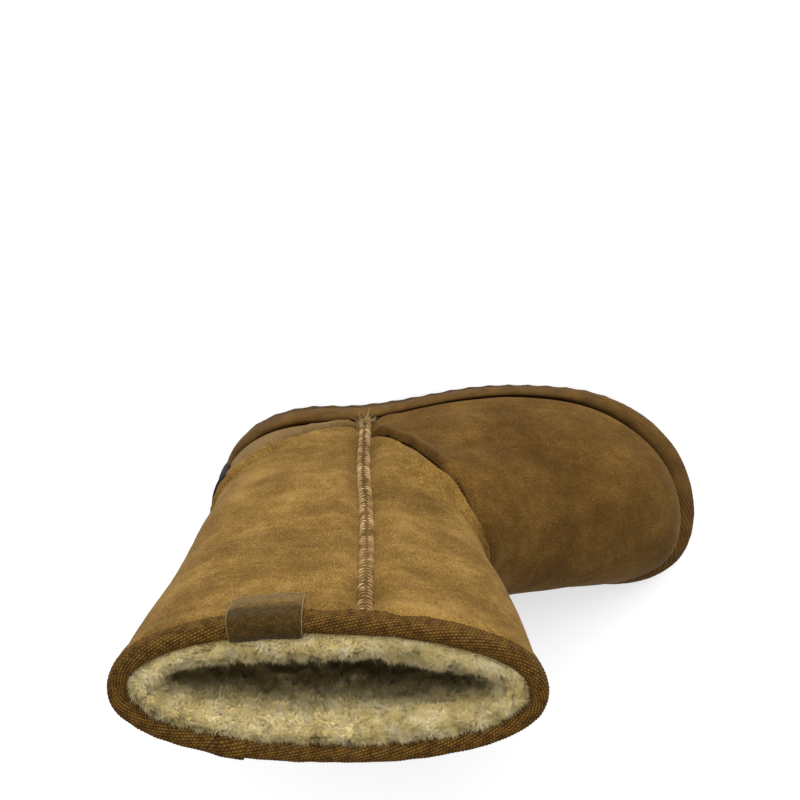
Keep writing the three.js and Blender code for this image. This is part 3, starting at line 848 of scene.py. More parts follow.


# Painted shade: the ridge, sunk between the panels' edges, gets a darker copy of the suede.
ridge_shaded_suede = make_suede("seam_shaded_suede", "#3C2A12", "#5A4322", "#775C36")
ridge_heights = np.arange(SEAT - 1.5, 240, STITCH_PITCH / 5)[:, None]
across = np.cos(np.linspace(np.pi, 0, 13))
drawn_in = 1 - 0.1 * (0.5 + 0.5 * np.cos(2 * np.pi * ridge_heights / STITCH_PITCH))
for name, q_seam in (("outer_seam", 1), ("inner_seam", 3)):
    points, _ = on_ridge(q_seam, ridge_heights + 0 * across, across, pull=drawn_in)
    make_piece(name, *closed_tube(points), ridge_shaded_suede, "suede")

# %% [markdown]
# ## Overcast thread
#
# The thread is a waxed cord about 1 mm thick. Each stitch lies over the ridge as two slanted bars
# that come from both sides and dive into the seam near its crest. A row of them reads as small
# arches with darker suede between them, which is painted shade. No two are quite alike, because the skin
# under them gives.
# One function sweeps a round section along many short paths at once and joins them all into a
# single mesh, which stays light even with hundreds of stitches.

# %% Side seam thread
SLANT, THREAD_RADIUS, THREAD_STEPS = -1.0, 0.42, 8


def strands(paths, radii, facing, sides=5):
    """Tubes along paths (count, steps, 3). Radii match the steps, facing is a direction per path."""
    count, steps = paths.shape[:2]
    tangent = unit(np.gradient(paths, axis=1))
    side = unit(np.cross(tangent, facing[:, None]))
    other = np.cross(side, tangent)
    angle = np.arange(sides) * 2 * np.pi / sides
    ring = side[:, :, None] * np.cos(angle)[:, None] + other[:, :, None] * np.sin(angle)[:, None]
    points = paths[:, :, None] + ring * np.broadcast_to(radii, (count, steps))[:, :, None, None]
    _, one = closed_tube(points[0])
    return points.reshape(-1, 3), [face + start * steps * sides for start in range(count) for face in one]


def make_thread(name, dark, light):
    return make_mottled(
        name, [(7, 1.0, 4)], [(0.35, dark), (0.65, light)], [(0.5, 1.0, 1)], 0.6, 0.2,
        Roughness=0.85, Specular_IOR_Level=0.15,
    )


seam_thread = make_thread("waxed_thread", "#6E5229", "#C6A676")
rng = np.random.default_rng(7)
starts = np.arange(SEAT + 3, 239, STITCH_PITCH)[:, None]
t = np.linspace(0, 1, THREAD_STEPS)
for name, q_seam in (("outer_seam_thread", 1), ("inner_seam_thread", 3)):
    all_paths, all_facing = [], []
    for side in (-1, 1):
        over = side * (1.03 - rng.uniform(0.72, 1.0, starts.shape) * t)
        h = starts + SLANT * t + rng.normal(0, 0.2, starts.shape)
        points, away = on_ridge(q_seam, h, over, lift=0.06 - 0.35 * t**4)
        all_paths.append(points)
        all_facing.append(away[:, THREAD_STEPS // 2])
    paths, facing = np.concatenate(all_paths), np.concatenate(all_facing)
    radii = THREAD_RADIUS + rng.normal(0, 0.05, (len(paths), 1)) - 0.12 * (2 * t - 1) ** 2
    make_piece(name, *strands(paths, radii, facing), seam_thread, "suede")

# %% [markdown]
# ## Instep and heel seams
#
# The shaft rolls over the vamp and the counter, and is caught down by a row of slanted stitches
# in dark thread. They sit deep in the fold, so they show only as small dark notches.

# %% Fold stitches
FOLD_PITCH, FOLD_REACH, FOLD_SKEW, FOLD_RADIUS, FOLD_ENDS = 2.3, 2.4, 0.7, 0.38, 4


def fold_stitches(name, line):
    reach = length_along(line[0])
    places = np.arange(FOLD_ENDS, reach[-1] - FOLD_ENDS, FOLD_PITCH)
    centre, normal = (read_line(part, reach, places) for part in line)
    along = unit(np.gradient(centre, axis=0))
    across = np.cross(normal, along)
    t = np.linspace(-1, 1, 7)[:, None]
    drop = -4.2 + 1.2 * t**2 + 1.6 * (t > 0) * t
    paths = centre[:, None] + across[:, None] * t * FOLD_REACH + along[:, None] * t * FOLD_SKEW
    paths = paths + normal[:, None] * drop
    make_piece(name, *strands(paths, FOLD_RADIUS, normal), dark_thread, "suede")


dark_thread = make_thread("dark_waxed_thread", "#2B1A08", "#4A3214")
fold_stitches("instep_thread", vamp_line)
fold_stitches("counter_thread", counter_line)

# %% [markdown]
# ## Collar binding
#
# The raw edge of the collar is bound with a heavy cotton tape, about 24 mm wide and folded over
# the edge. Its weave is a twill: ribs about 1.2 mm apart that run nearly along the tape, with a
# small dark pit every 1.5 mm where a cross thread dips under. That is large enough to be real
# geometry, so the tape is a fine grid that is pushed in and out by a formula of two lengths, one
# along the tape and one across it. First come that formula and the tape's section.

# %% Binding's section and weave
RIB_PITCH, PIT_PITCH, RIB_HEIGHT = 1.2, 1.55, 0.38
RIB_ANGLE = math.radians(14)
RIB_COS, RIB_SIN = math.cos(RIB_ANGLE), math.sin(RIB_ANGLE)
TAPE_OUT, TAPE_IN, TAPE_TOP = 1.4, -6.2, 1.8
FOLD_DEPTH, FOLD_SQUARENESS = 3, 0.8
DROP_OUT, DROP_IN = 6.5, 9
TAPE_ROWS = 61


def tape_section():
    """The tape's outer face in section: up outside, over the fold and down inside."""
    middle, half = (TAPE_OUT + TAPE_IN) / 2, (TAPE_OUT - TAPE_IN) / 2
    arc = np.linspace(0, np.pi, 60)
    x = middle + half * np.sign(np.cos(arc)) * np.abs(np.cos(arc)) ** FOLD_SQUARENESS
    y = -FOLD_DEPTH + (TAPE_TOP + FOLD_DEPTH) * np.sin(arc) ** FOLD_SQUARENESS
    path = np.vstack([[TAPE_OUT, -DROP_OUT], np.column_stack([x, y]), [TAPE_IN, -DROP_IN]])
    return even_steps(path, TAPE_ROWS), np.linspace(0, length_along(path)[-1], TAPE_ROWS)


def turned_out(path):
    """Directions a quarter turn to the right of a path's own."""
    slope = unit(np.gradient(path, axis=0))
    return np.column_stack([slope[:, 1], -slope[:, 0]])


def twill(along, across):
    """Height of the weave from 0 to 1: short dashes along slanted ribs, staggered from rib to rib."""
    rib = (across * RIB_COS + along * RIB_SIN) / RIB_PITCH
    thread = (along * RIB_COS - across * RIB_SIN) / PIT_PITCH
    crest = 0.5 + 0.5 * np.cos(2 * np.pi * rib)
    dash = 0.5 + 0.5 * np.cos(2 * np.pi * (thread + 0.5 * np.floor(rib + 0.5)))
    return crest * (0.3 + 0.7 * dash)


section, girth = tape_section()
face_out = turned_out(section)
print("tape's width over the fold:", round(girth[-1], 1), "mm")

# %% [markdown]
# ## The tape's colours
#
# The material knows the weave too. The two lengths are kept on the mesh's points under the name
# cloth, and the nodes work out nearly the same formula from them: dark in the pits, light on the
# crests, with worn spots over both.

# %% Tape material
def make_tape_material():
    material, tree, shader = new_material("cotton_twill_tape", Roughness=0.9, Specular_IOR_Level=0.1)
    lengths = add(tree, "ShaderNodeAttribute", attribute_name="cloth").outputs["Vector"]
    rib_turns = (RIB_SIN / RIB_PITCH, RIB_COS / RIB_PITCH, 0)
    thread_turns = (RIB_COS / PIT_PITCH, -RIB_SIN / PIT_PITCH, 0)
    rib, thread = (
        add(tree, "ShaderNodeVectorMath", {0: lengths, 1: turns}, operation="DOT_PRODUCT").outputs["Value"]
        for turns in (rib_turns, thread_turns)
    )
    row = add(tree, "ShaderNodeMath", {0: rib}, operation="ROUND")
    thread = add(tree, "ShaderNodeMath", {0: row, 1: 0.5, 2: thread}, operation="MULTIPLY_ADD")
    height = 1.0
    for value, low in ((rib, 0.0), (thread, 0.25)):
        wave = add(tree, "ShaderNodeMath", {0: value, 1: 0.5}, operation="PINGPONG")
        wave = add(tree, "ShaderNodeMath", {0: wave, 1: 2 * (low - 1), 2: 1.0}, operation="MULTIPLY_ADD")
        height = add(tree, "ShaderNodeMath", {0: wave, 1: height}, operation="MULTIPLY")
    yarn = add(tree, "ShaderNodeValToRGB", {"Fac": mottle(tree, [(1.4, 0.5, 3)], height)},
               stops=[(0.2, "#2C1B07"), (0.55, "#543B13"), (1.0, "#745624")])
    wear_and_shade = add(tree, "ShaderNodeValToRGB", {"Fac": mottle(tree, [(3.2, 1.0, 4)])},
               stops=[(0.4, "#5A3834"), (0.55, "#FFFFFF")])
    colour = add(tree, "ShaderNodeMix", {0: 0.5, 6: yarn, 7: wear_and_shade}, data_type="RGBA", blend_type="MULTIPLY")
    dress(tree, shader, colour.outputs[2], mottle(tree, [(0.5, 1.0, 2)]), 0.5, 0.2)
    return material


tape = make_tape_material()
print(tape.name, "has", len(tape.node_tree.nodes), "nodes")

# %% [markdown]
# ## Folding the tape over the collar
#
# The section is carried round the collar. The tape is not quite even: it waves a little, its
# edges drift up and down, and where its two ends meet one lies over the other.

# %% Binding
JOINT, JOINT_LENGTH, JOINT_STEP = 322, 9, 0.9
TAPE_COLUMNS, TAPE_THICKNESS = 1160, 1.1


def beside_collar(edge, away, out, up):
    """Points beside the collar's edge, some way out from it and up."""
    points = edge + away * out[..., None]
    points[..., 2] += up
    return points


tape_q = np.linspace(0, 4, TAPE_COLUMNS, endpoint=False)
edge_points, edge_away = on_upper(tape_q, COLLAR)
edge_away = unit(edge_away * [1, 1, 0])
tape_length = length_along(edge_points)
along_grid, across_grid = np.broadcast_arrays(tape_length[None], girth[:, None])
waves = 0.35 * soft_noise(edge_points, 14, 5) + 0.2 * soft_noise(edge_points, 5, 6)
past_joint = np.mod(along_grid - JOINT + 0.8 * np.sin(across_grid / 9), tape_length[-1])
overlap = JOINT_STEP * (past_joint > 0.5) * (1 - smooth((past_joint - JOINT_LENGTH) / 8))
push = RIB_HEIGHT * twill(along_grid, across_grid) + 0.8 * waves + overlap
drift = 0.9 * soft_noise(edge_points, 30, 8) * (np.abs(section[:, 1:]) > 6)
out, up = section[:, :1] + face_out[:, :1] * push, section[:, 1:] + face_out[:, 1:] * push + drift
outside = beside_collar(edge_points, edge_away, out, up)
inner_line = (section - face_out * TAPE_THICKNESS)[::10]
inside = beside_collar(edge_points, edge_away, inner_line[:, :1], inner_line[:, 1:])
binding = make_piece("collar_binding_tape", *closed_band(outside, inside), tape, "twill_tape",
                     replaces=["collar_binding"])
keep_on_points(binding, "cloth", along_grid + 3 * overlap, across_grid)

# %% [markdown]
# ## Strap suede
#
# The pull tab's cut edges are paler than its face, because there the raw skin shows. Over the
# collar it is dark from hands. Both marks are kept on the mesh's points under the name edge: the
# first number says how much a point is a cut edge, the second how much it is worn.

# %% Strap material
def make_strap_material(name, face, wear_and_shade, edge):
    material, tree, shader = new_material(
        name, Roughness=0.95, Sheen_Weight=0.1, Sheen_Roughness=0.4, Specular_IOR_Level=0.1
    )
    marks = add(tree, "ShaderNodeAttribute", attribute_name="edge")
    split = add(tree, "ShaderNodeSeparateXYZ", {"Vector": marks.outputs["Vector"]})
    fac = mottle(tree, [(2.5, 0.45, 4), (0.7, 0.55, 2)])
    clean_and_unshaded, used = (add(tree, "ShaderNodeValToRGB", {"Fac": fac}, stops=stops) for stops in (face, wear_and_shade))
    body = add(tree, "ShaderNodeMix", {0: split.outputs["Y"], 6: clean_and_unshaded, 7: used}, data_type="RGBA").outputs[2]
    colour = add(tree, "ShaderNodeMix", {0: split.outputs["X"], 6: body, 7: edge}, data_type="RGBA")
    dress(tree, shader, colour.outputs[2], fac, 0.8, 0.5)
    return material


strap_suede = make_strap_material(
    "strap_suede", [(0.36, "#4A3718"), (0.5, "#5E4820"), (0.64, "#745B2B")],
    [(0.36, "#2B1D07"), (0.5, "#3B2B0F"), (0.64, "#4C3A18")], "#8A7144"
)
print(strap_suede.name, "has", len(strap_suede.node_tree.nodes), "nodes")

# %% [markdown]
# ## Pull tab
#
# A strap of suede 29 mm wide is folded over the collar on the outer side, behind the seam. One
# end lies on the suede of the shaft, where it steps over the edge of the tape, and the other is
# pushed down between tape and wool. It is a small sheet swept along that path. The part of it
# that lies outside also follows the shaft, which leans in towards the collar.

# %% Pull tab
TAB_WIDTH, TAB_THICKNESS, TAB_CENTRE = 29, 1.5, 0.187
TAB_ROWS, TAB_COLUMNS = 90, 62
TAB_PATH = np.array([
    [1.4, -16.5], [1.8, -14], [2.4, -11], [2.9, -7.5], [3.0, -3], [2.5, 0.8], [0.5, 2.6], [-2.3, 2.9],
    [-4.8, 2.3], [-6.6, 0.6], [-7.3, -2], [-7.5, -6], [-7.6, -9],
])
INSIDE_BEYOND = -4  # mm out from the collar's edge, where the strap has turned inside
collar_length = tape_length[-1] + np.linalg.norm(edge_points[0] - edge_points[-1])


def collar_frame(place):
    """Points on the collar's edge and level directions out of it, by the length round the collar."""
    return [read_line(part, tape_length, np.mod(place, collar_length)) for part in (edge_points, edge_away)]


def shaft_lean(place, drop):
    """How far the shaft's surface lies out from the collar's edge, some way below it."""
    below, _ = on_upper(np.interp(place, tape_length, tape_q), COLLAR + drop)
    return (below - collar_frame(place)[0])[:, :2]


def strap_side(offset):
    profile = tab_path + turned_out(tab_path) * offset
    points = beside_collar(*collar_frame(tab_place), profile[:, :1], profile[:, 1:])
    for row, (out, up) in zip(points, profile):
        if up < 0 and out > INSIDE_BEYOND:
            row[:, :2] += shaft_lean(tab_place, up)
    return points


tab_path = rounded_path(TAB_PATH, TAB_ROWS)
half_strap = np.linspace(-1, 1, TAB_COLUMNS)
tab_place = TAB_CENTRE * collar_length + half_strap * TAB_WIDTH / 2
rounding = 0.35 * np.abs(half_strap) ** 12
outside, inside = strap_side(TAB_THICKNESS / 2), strap_side(-TAB_THICKNESS / 2)
nap = 0.12 * soft_noise(outside, 2.2, 21) + 0.3 * soft_noise(outside, 9, 22)
outside = outside + (outside - inside) * (nap / TAB_THICKNESS - rounding)[..., None]
inside = inside + (outside - inside) * rounding[:, None]
tab = make_piece("suede_pull_tab", *closed_sheet(outside, inside), strap_suede, "tab_suede",
                 replaces=["pull_tab"])
cut = np.zeros((2, TAB_ROWS, TAB_COLUMNS))
cut[:, [0, -1], :] = cut[:, :, [0, -1]] = 1
keep_on_points(tab, "edge", cut, np.repeat(smooth((tab_path[:, 1] + 9) / 6), TAB_COLUMNS))

# %% [markdown]
# ## Heel label
#
# A moulded rubber patch sits on the back of the heel. It is left bare: only a raised border,
# round corners and the soft, matt texture that rubber takes from its mould.

# %% Heel label
LABEL_WIDTH, LABEL_THICKNESS, LABEL_BOTTOM, LABEL_TOP = 40, 1.6, 36, 62
CORNER = 3.0
LABEL_ROW = 30  # the map's row at the label's middle


def make_rubber(name, dark, light, roughness):
    return make_mottled(
        name, [(1.6, 0.5, 5), (24, 0.5, 3)], [(0.4, dark), (0.6, light)], [(0.6, 1.0, 3)], 0.25, 0.3,
        Roughness=roughness, Specular_IOR_Level=0.1,
    )


label_rubber = make_rubber("moulded_black_rubber", "#221D19", "#38312C", 0.8)
size = np.array([LABEL_WIDTH, LABEL_TOP - LABEL_BOTTOM]) / 2
square = np.stack(np.meshgrid(np.linspace(-1, 1, 84), np.linspace(-1, 1, 56)), axis=-1) * size
past_corner = np.clip(np.abs(square) - size + CORNER, 0, None)
shrink = np.minimum(1, CORNER / (np.linalg.norm(past_corner, axis=-1, keepdims=True) + 1e-9))
flat = np.sign(square) * (np.abs(square) - past_corner * (1 - shrink))
to_edge = (size - np.abs(square)).min(axis=-1)
q = flat[..., 0] / quarter_lengths[LABEL_ROW, [0, 3]].mean()
face, away = on_upper(q, (LABEL_BOTTOM + LABEL_TOP) / 2 + flat[..., 1])
base = swell(face) * 0.5
relief = bump(to_edge, rise=0.55, place=2.0, width=0.8) + curl(to_edge, depth=0.9, radius=0.9)
outside = face + away * (0.7 + base + LABEL_THICKNESS + relief)[..., None]
inside = face + away * (0.2 + base)[..., None]
make_piece("rubber_heel_label", *closed_sheet(outside, inside, 7), label_rubber, "label_rubber",
           replaces=["heel_label"])

# %% [markdown]
# ## Wool
#
# The lining is the skin's own wool, shorn to about 14 mm. It is made in two layers. Under it all
# lies a lumpy skin that follows a second map of the boot, drawn in from the first by a level
# distance. Its lumps are round with sharp valleys, as clumps of wool are. On it stand tens of
# thousands of fine needles. Further down it is too dark to see needles, so the skin is enough.
# First comes the second map.

# %% Inner map
WOOL_DEPTH = 16
INNER_RING_POINTS = 480
inner_surface = np.stack([cut_ring(upper_ring(h, INNER_RING_POINTS, WOOL_DEPTH), h) for h in MAP_HEIGHTS])


def in_wool(q, height, depth):
    """A place inside the boot, at a depth in mm from the outside of the upper."""
    q, height, depth = np.broadcast_arrays(q, height, depth)
    outer, inner = read_map(surface, q, height), read_map(inner_surface, q, height)
    points = outer + (inner - outer) * (depth / WOOL_DEPTH)[..., None]
    points[..., 2] += np.maximum(height - COLLAR, 0)
    return points


def wool_skin(q, depth, up):
    """Points on the lumpy skin. The lumps fade out towards the tape and towards the sole."""
    points = in_wool(q, COLLAR + up, depth)
    free = smooth((depth - 5) / 3.5) * smooth((up + 215) / 40)
    lumps = 1.3 * soft_noise(points, 13, 31) + 2.9 * np.abs(soft_noise(points, 7, 32))
    lumps = lumps + 1.2 * np.abs(soft_noise(points, 3, 33)) - 1.2
    return in_wool(q, COLLAR + up + 0.5 * lumps * free, depth + lumps * free)


print("round the inside of the collar:", round(length_along(inner_surface[-1])[-1]), "mm")

# %% [markdown]
# ## Wool's colours
#
# Clean wool is cream. From a height down its colour is made darker and browner: painted shade for
# the dim inside of the boot. The needles are lit as if they had the skin's own direction, which is
# kept on their points under the name fleece. That blurs thousands of tiny faces into one soft fleece.

# %% Wool material
# Heights over which the wool's painted shade fades out.
SHADE_FULL_BELOW, SHADE_GONE_ABOVE = 0.16, 0.214  # metres above the floor


def make_wool(name, dark, middle, light, soft=False, shade_by_depth=True):
    material, tree, shader = new_material(
        name, Roughness=0.9, Sheen_Weight=0.2, Sheen_Roughness=0.5, Sheen_Tint="#FFF0C8",
        Specular_IOR_Level=0.1,
    )
    colour = add(tree, "ShaderNodeValToRGB", {"Fac": mottle(tree, [(8, 0.75, 4), (1.5, 0.25, 3)])},
                 stops=[(0.36, dark), (0.5, middle), (0.64, light)]).outputs["Color"]
    # Painted shade: towards the bottom of the boot the colour is multiplied down to a dark brown.
    if shade_by_depth:
        place = add(tree, "ShaderNodeTexCoord").outputs["Object"]
        height = add(tree, "ShaderNodeSeparateXYZ", {"Vector": place}).outputs["Z"]
        clean_and_unshaded = add(tree, "ShaderNodeMapRange", {
            "Value": height, "From Min": SHADE_FULL_BELOW, "From Max": SHADE_GONE_ABOVE, "To Min": 0.1, "To Max": 1.0,
        })
        wear_and_shade = add(tree, "ShaderNodeMix", {0: clean_and_unshaded, 6: "#33280F", 7: "#FFFFFF"}, data_type="RGBA")
        colour = add(tree, "ShaderNodeMix", {0: 1.0, 6: colour, 7: wear_and_shade.outputs[2]},
                     data_type="RGBA", blend_type="MULTIPLY").outputs[2]
    tree.links.new(colour, shader.inputs["Base Color"])
    if soft:
        normal = add(tree, "ShaderNodeAttribute", attribute_name="fleece")
        tree.links.new(normal.outputs["Vector"], shader.inputs["Normal"])
    return material


wool = make_wool("shorn_wool", "#BCA566", "#D0B97A", "#E4D098")
wool_tips = make_wool("wool_tips", "#D2BC7A", "#E6D194", "#F6E7BA", soft=True)
seam_wool = make_wool("seam_wool", "#7A643A", "#9C8456", "#B8A274", shade_by_depth=False)
print("wools:", wool.name, wool_tips.name, seam_wool.name)

# %% [markdown]
# ## Lining
#
# The lining's section swells up beside the tape, rounds over and goes down to the insole. Its
# rows are close together near the collar, where they show, and wider apart further down.

# %% Lining
# The wool in section: depth from the outside and height over the collar's edge.
WOOL_PATH = np.array([
    [6.4, -7], [7.2, -3.2], [9.0, -0.9], [12.0, -0.2], [15.0, -1.4], [17.2, -4.6], [18.0, -10], [17.0, -20],
    [15.8, -34], [14.6, -60], [14.2, -110], [14.0, -160], [13.5, -206],
])
WOOL_COLUMNS, WOOL_ROWS, WOOL_STEPS = 300, 60, 500
BACK_DEPTH, BACK_TOP, BACK_ROWS = 4.5, -8, 50
rows = np.unique(np.round(np.linspace(0, 1, WOOL_ROWS) ** 1.5 * (WOOL_STEPS - 1)).astype(int))
wool_path = rounded_path(WOOL_PATH, WOOL_STEPS)[rows]
wool_q = np.linspace(0, 4, WOOL_COLUMNS, endpoint=False)
front = wool_skin(wool_q, wool_path[:, :1], wool_path[:, 1:])
back_up = np.linspace(BACK_TOP, WOOL_PATH[-1, 1], BACK_ROWS)[:, None]
make_piece("wool_lining", *closed_band(in_wool(wool_q, COLLAR + back_up, BACK_DEPTH), front), wool, "wool")

# %% [markdown]
# ## Tufts
#
# The needles stand on the lining's first 60 mm and are densest near the collar. Each is a closed
# spike of three sides. It leans to the middle of its clump, and those at the top are longer, so
# that they stick up beside the tape.

# %% Tufts
TUFTS, TUFT_REACH, TUFT_CROWDING = 38500, 60, 1.9
fine_wool = rounded_path(WOOL_PATH, 800)
fine_reach = length_along(fine_wool)


def make_tufts(name, q_low, q_high, seed):
    rng = np.random.default_rng(seed)
    q = rng.uniform(q_low, q_high, TUFTS)
    place = rng.beta(1.0, TUFT_CROWDING, TUFTS) * TUFT_REACH
    depth, up = read_line(fine_wool, fine_reach, place).T
    root = wool_skin(q, depth, up)
    down = wool_skin(q, *read_line(fine_wool, fine_reach, place + 1).T) - root
    side = wool_skin(q + 0.01, depth, up) - root
    normal = unit(np.cross(down, side))
    clump = np.stack([soft_noise(root, 3.5, seed + k) for k in (1, 2, 3)], axis=1)
    lean = clump * 1.4 + rng.normal(0, 0.45, (TUFTS, 3))
    lean -= normal * (lean * normal).sum(axis=1, keepdims=True)
    longer = 1 + 0.6 * np.exp(-((place / 6) ** 2))
    tip = root + (normal * 0.8 + lean) * rng.uniform(1.3, 3.4, (TUFTS, 1)) * longer[:, None]
    width = rng.uniform(0.12, 0.24, (TUFTS, 1))
    a = unit(np.cross(normal, [0.0, 0.0, 1.0]) + 1e-6)
    b = np.cross(normal, a)
    root = root - normal * 0.6
    turns = np.arange(3) * 2 * np.pi / 3
    corners = [root + (a * math.cos(turn) + b * math.sin(turn)) * width for turn in turns]
    starts = np.arange(TUFTS)[:, None] * 4
    faces = np.concatenate([starts + np.array(face) for face in ((2, 1, 0), (0, 1, 3), (1, 2, 3), (2, 0, 3))])
    piece = make_piece(name, np.stack([*corners, tip], axis=1), faces, wool_tips, "wool")
    keep_on_points(piece, "fleece", *np.repeat(normal, 4, axis=0).T)


make_tufts("wool_tufts_outer", 0, 2, 41)
make_tufts("wool_tufts_inner", 2, 4, 51)

# %% [markdown]
# ## Wool at the foot of the seams
#
# Where a side seam dives behind the wrapped edge, a pinch of wool is caught in it and sticks out
# as a small pale tuft. It is a handful of short curved hairs.

# %% Seam tufts
HAIRS = 420
HAIR_RADII = np.array([0.16, 0.16, 0.15, 0.12, 0.06])
t = np.linspace(0, 1, len(HAIR_RADII))[None, :, None]
for name, q_seam in (("outer_seam_wool", 1), ("inner_seam_wool", 3)):
    rng = np.random.default_rng(60 + q_seam)
    root, away = seam_place(q_seam, rng.normal(25.5, 1.6, HAIRS), rng.normal(0, 2.0, HAIRS), -1.6)
    lean = away * 0.9 + rng.normal(0, 0.75, (HAIRS, 3))
    bend = np.cross(lean, rng.normal(0, 1.1, (HAIRS, 3)))
    paths = root[:, None] + (lean[:, None] * t + bend[:, None] * t**2) * rng.uniform(0.7, 1.7, (HAIRS, 1, 1))
    make_piece(name, *strands(paths, HAIR_RADII, away, sides=3), seam_wool, "wool")

# %% [markdown]
# ## Insole
#
# The footbed is topped with the same wool, pressed flat by the foot. It is a ladder of rungs
# between the two sides of its outline, with low lumps.

# %% Insole
INSOLE_WALL, INSOLE_THICKNESS, ABOVE_SEAT = 15, 8, 0.4


def ladder(loop, rungs):
    """A grid inside a closed loop, across from side to side. The loop's two end points are left out."""
    half = len(loop) // 2
    outer, inner = loop[1:half], loop[half + 1:][::-1]
    share = np.linspace(0, 1, rungs)[None, :, None]
    return outer[:, None] * (1 - share) + inner[:, None] * share


bed = ladder(outline(section_at(SEAT, INSOLE_WALL), 280), 60)[::-1]
bed = np.dstack([bed, sole_height("seat", bed[..., 0])])
lumps = 0.8 * soft_noise(bed, 9, 61) + 0.4 * soft_noise(bed, 4, 62)
top = bed + np.stack([0 * lumps, 0 * lumps, INSOLE_THICKNESS + lumps], axis=-1)
make_piece("wool_insole", *closed_sheet(top, bed + [0, 0, ABOVE_SEAT], 12), wool, "wool", replaces=["insole"])

# %% [markdown]
# ## Wrapped edge
#
# The edge of the foam midsole is wrapped in the same brown cloth as the collar tape. The cloth
# rolls over the top and is tucked down beside the upper, which leaves a narrow groove there. A
# smooth closed ring carries the roll, with the small unevenness of cloth pulled round a curve.
# Its section is a path of three numbers: the share of the way in from the sole's edge to the
# foot's, the share of the way up, and some mm more.

# %% Wrap
WRAP_EDGE = np.array([
    [0.14, 0.0, 0.3], [0.02, 0.12, 0], [0.0, 0.55, 0], [0.1, 0.86, 0], [0.28, 1, 0.6], [0.5, 1, 1.0],
    [0.72, 1, 0.3], [0.88, 1, -1.2], [0.98, 1, -2.2], [1.1, 0.8, -2.0],
])
WRAP_INSIDE = np.array([[1.3, 0.02, 0.4], [1.3, 0.3, 0.4], [1.3, 0.6, 0.4]])
WRAP_UNITS = [12, 11, 1]  # about how many mm each of the three numbers stands for
WRAP_COLUMNS, WRAP_ROWS, WRAP_GIRTH = 900, 34, 24
WRAP_RIB, WRAP_RIB_HEIGHT = 1.5, 0.12
sole_edge = outline(SOLE_OUTLINE, WRAP_COLUMNS)
foot_edge = outline(section_at(SEAT), WRAP_COLUMNS)


def wrap_points(path):
    inward, upward, more = path.T[:, :, None]
    flat = sole_edge + (foot_edge - sole_edge) * inward[..., None]
    joint, seat = sole_height("joint", flat[..., 0]), sole_height("seat", flat[..., 0])
    return np.dstack([flat, joint + upward * (seat - joint) + more])


def make_wrap_material():
    """The weave attribute holds how high a rib is at each point."""
    material, tree, shader = new_material("ribbed_wrap_cloth", Roughness=0.85, Specular_IOR_Level=0.15)
    weave = add(tree, "ShaderNodeAttribute", attribute_name="weave")
    rib = add(tree, "ShaderNodeSeparateXYZ", {"Vector": weave.outputs["Vector"]}).outputs["X"]
    rib = add(tree, "ShaderNodeMath", {0: rib, 1: 0.4}, operation="MULTIPLY")
    colour = add(tree, "ShaderNodeValToRGB", {"Fac": mottle(tree, [(12, 0.6, 4)], rib)},
                 stops=[(0.25, "#33210A"), (0.5, "#523A17"), (0.75, "#6E5124")])
    dress(tree, shader, colour.outputs["Color"], mottle(tree, [(0.5, 1.0, 2)]), 0.4, 0.3)
    return material


wrap_cloth = make_wrap_material()
rings = wrap_points(rounded_path(WRAP_EDGE * WRAP_UNITS, WRAP_ROWS) / WRAP_UNITS)
wrap_girth = np.linspace(0, WRAP_GIRTH, WRAP_ROWS)[:, None]
rib = 0.5 + 0.5 * np.cos(2 * np.pi * (wrap_girth * 0.9 + length_along(sole_edge) * 0.35) / WRAP_RIB)
out = WRAP_RIB_HEIGHT * rib + 0.35 * soft_noise(rings, 14, 71) + 0.15 * soft_noise(rings, 4, 72)
rings = rings + unit(rings - rings.mean(axis=0)) * out[..., None]
hidden = wrap_points(WRAP_INSIDE)
wrap = make_piece("wrapped_sole_edge", *closed_band(hidden, rings), wrap_cloth, "sole_wrap",
                  replaces=["midsole"])
keep_on_points(wrap, "weave", np.append(np.zeros(hidden.shape[:2]), rib))

# %% [markdown]
# ## Outsole
#
# The outsole is moulded rubber with zigzag grooves between its lugs. Its lip lies just inside the
# wrap and is scalloped where the grooves run out. The grooves are worked out as a height for
# every point of a fine grid, so their walls slope as moulded ones do. Rings run round the edge,
# and two ladders close them: a fine one under the foot and a coarse one on top.

# %% Outsole
GROOVE_PITCH, GROOVE_WIDTH, GROOVE_DEPTH, GROOVE_SWAY, GROOVE_BENDS = 11, 4, 3, 4, 6
PADS = [(0, 0, 40, 34), (148, 0, 48, 44)]  # flat spots: x, y, length and width
SOLE_LIP, SCALLOP = -0.6, 0.5
SOLE_POINTS = 720
# Each ring: mm out from the lip, the height it starts from and mm above that height.
SOLE_RINGS = [
    (-2.2, "under", 0.0), (-0.9, "under", 0.35), (-0.2, "under", 1.0), (0, "under", 2.0),
    (0.1, "joint", -3.0), (0.1, "joint", -1.2), (-0.1, "joint", -0.4), (-0.8, "joint", 0.0),
    (-5.0, "joint", 0.1),
]


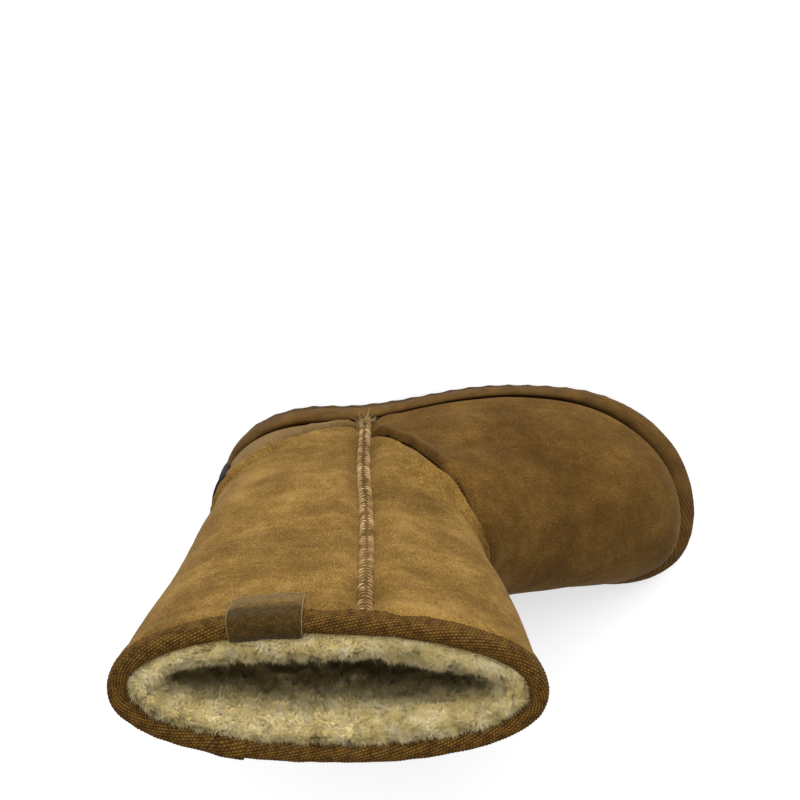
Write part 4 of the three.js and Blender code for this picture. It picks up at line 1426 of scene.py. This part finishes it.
def groove(x, y):
    """Depth of the grooves at a place on the underside."""
    fold = (y / (BALL_WIDTH * 1.3) + 0.5) * GROOVE_BENDS
    zigzag = GROOVE_SWAY * (1 - np.abs(np.mod(fold, 2) - 1))
    first = HEEL_BACK + GROOVE_PITCH * 0.7
    phase = np.mod(x - zigzag - first + GROOVE_PITCH / 2, GROOVE_PITCH) - GROOVE_PITCH / 2
    depth = smooth(GROOVE_WIDTH / 2 + 0.5 - np.abs(phase))
    for middle_x, middle_y, length, width in PADS:
        away = np.hypot((x - middle_x) / (length / 2), (y - middle_y) / (width / 2))
        depth = depth * smooth((away - 1) * 20)
    return GROOVE_DEPTH * depth


lip = outline(SOLE_OUTLINE, SOLE_POINTS)
step = unit(np.roll(lip, -1, axis=0) - np.roll(lip, 1, axis=0))
outward = np.column_stack([-step[:, 1], step[:, 0]])
scallop = SCALLOP * np.abs(np.cos(np.pi * (lip[:, 0] - HEEL_BACK) / GROOVE_PITCH))
rings = []
for shift, column, rise in SOLE_RINGS:
    flat = lip + outward * (SOLE_LIP + shift - scallop * (shift > -2))[:, None]
    z = sole_height(column, flat[:, 0]) + rise
    if column == "under" and rise < 1.5:
        z = z + groove(*flat.T)
    rings.append(np.column_stack([flat, z]))
rings = np.array(rings)
points, faces = [rings.reshape(-1, 3)], [*grid_faces(len(rings), SOLE_POINTS, close_columns=True)]
for ring, rungs, column in ((0, 90, "under"), (len(rings) - 1, 2, "joint")):
    plate = ladder(rings[ring, :, :2], rungs)
    lift = groove(plate[..., 0], plate[..., 1]) if column == "under" else 0.1
    start = sum(len(p) for p in points)
    last_row = start + (len(plate) - 1) * rungs
    heel, toe = ring * SOLE_POINTS, ring * SOLE_POINTS + SOLE_POINTS // 2
    faces += [*grid_faces(len(plate), rungs, start), [heel, *range(start, start + rungs)]]
    faces += [[toe, *range(last_row, last_row + rungs)]]
    points.append(np.dstack([plate, sole_height(column, plate[..., 0]) + lift]).reshape(-1, 3))
outsole_rubber = make_rubber("moulded_outsole_rubber", "#33240F", "#513B1B", 0.85)
make_piece("rubber_outsole", np.concatenate(points), faces, outsole_rubber, "outsole_rubber",
           replaces=["outsole"], weld=True)
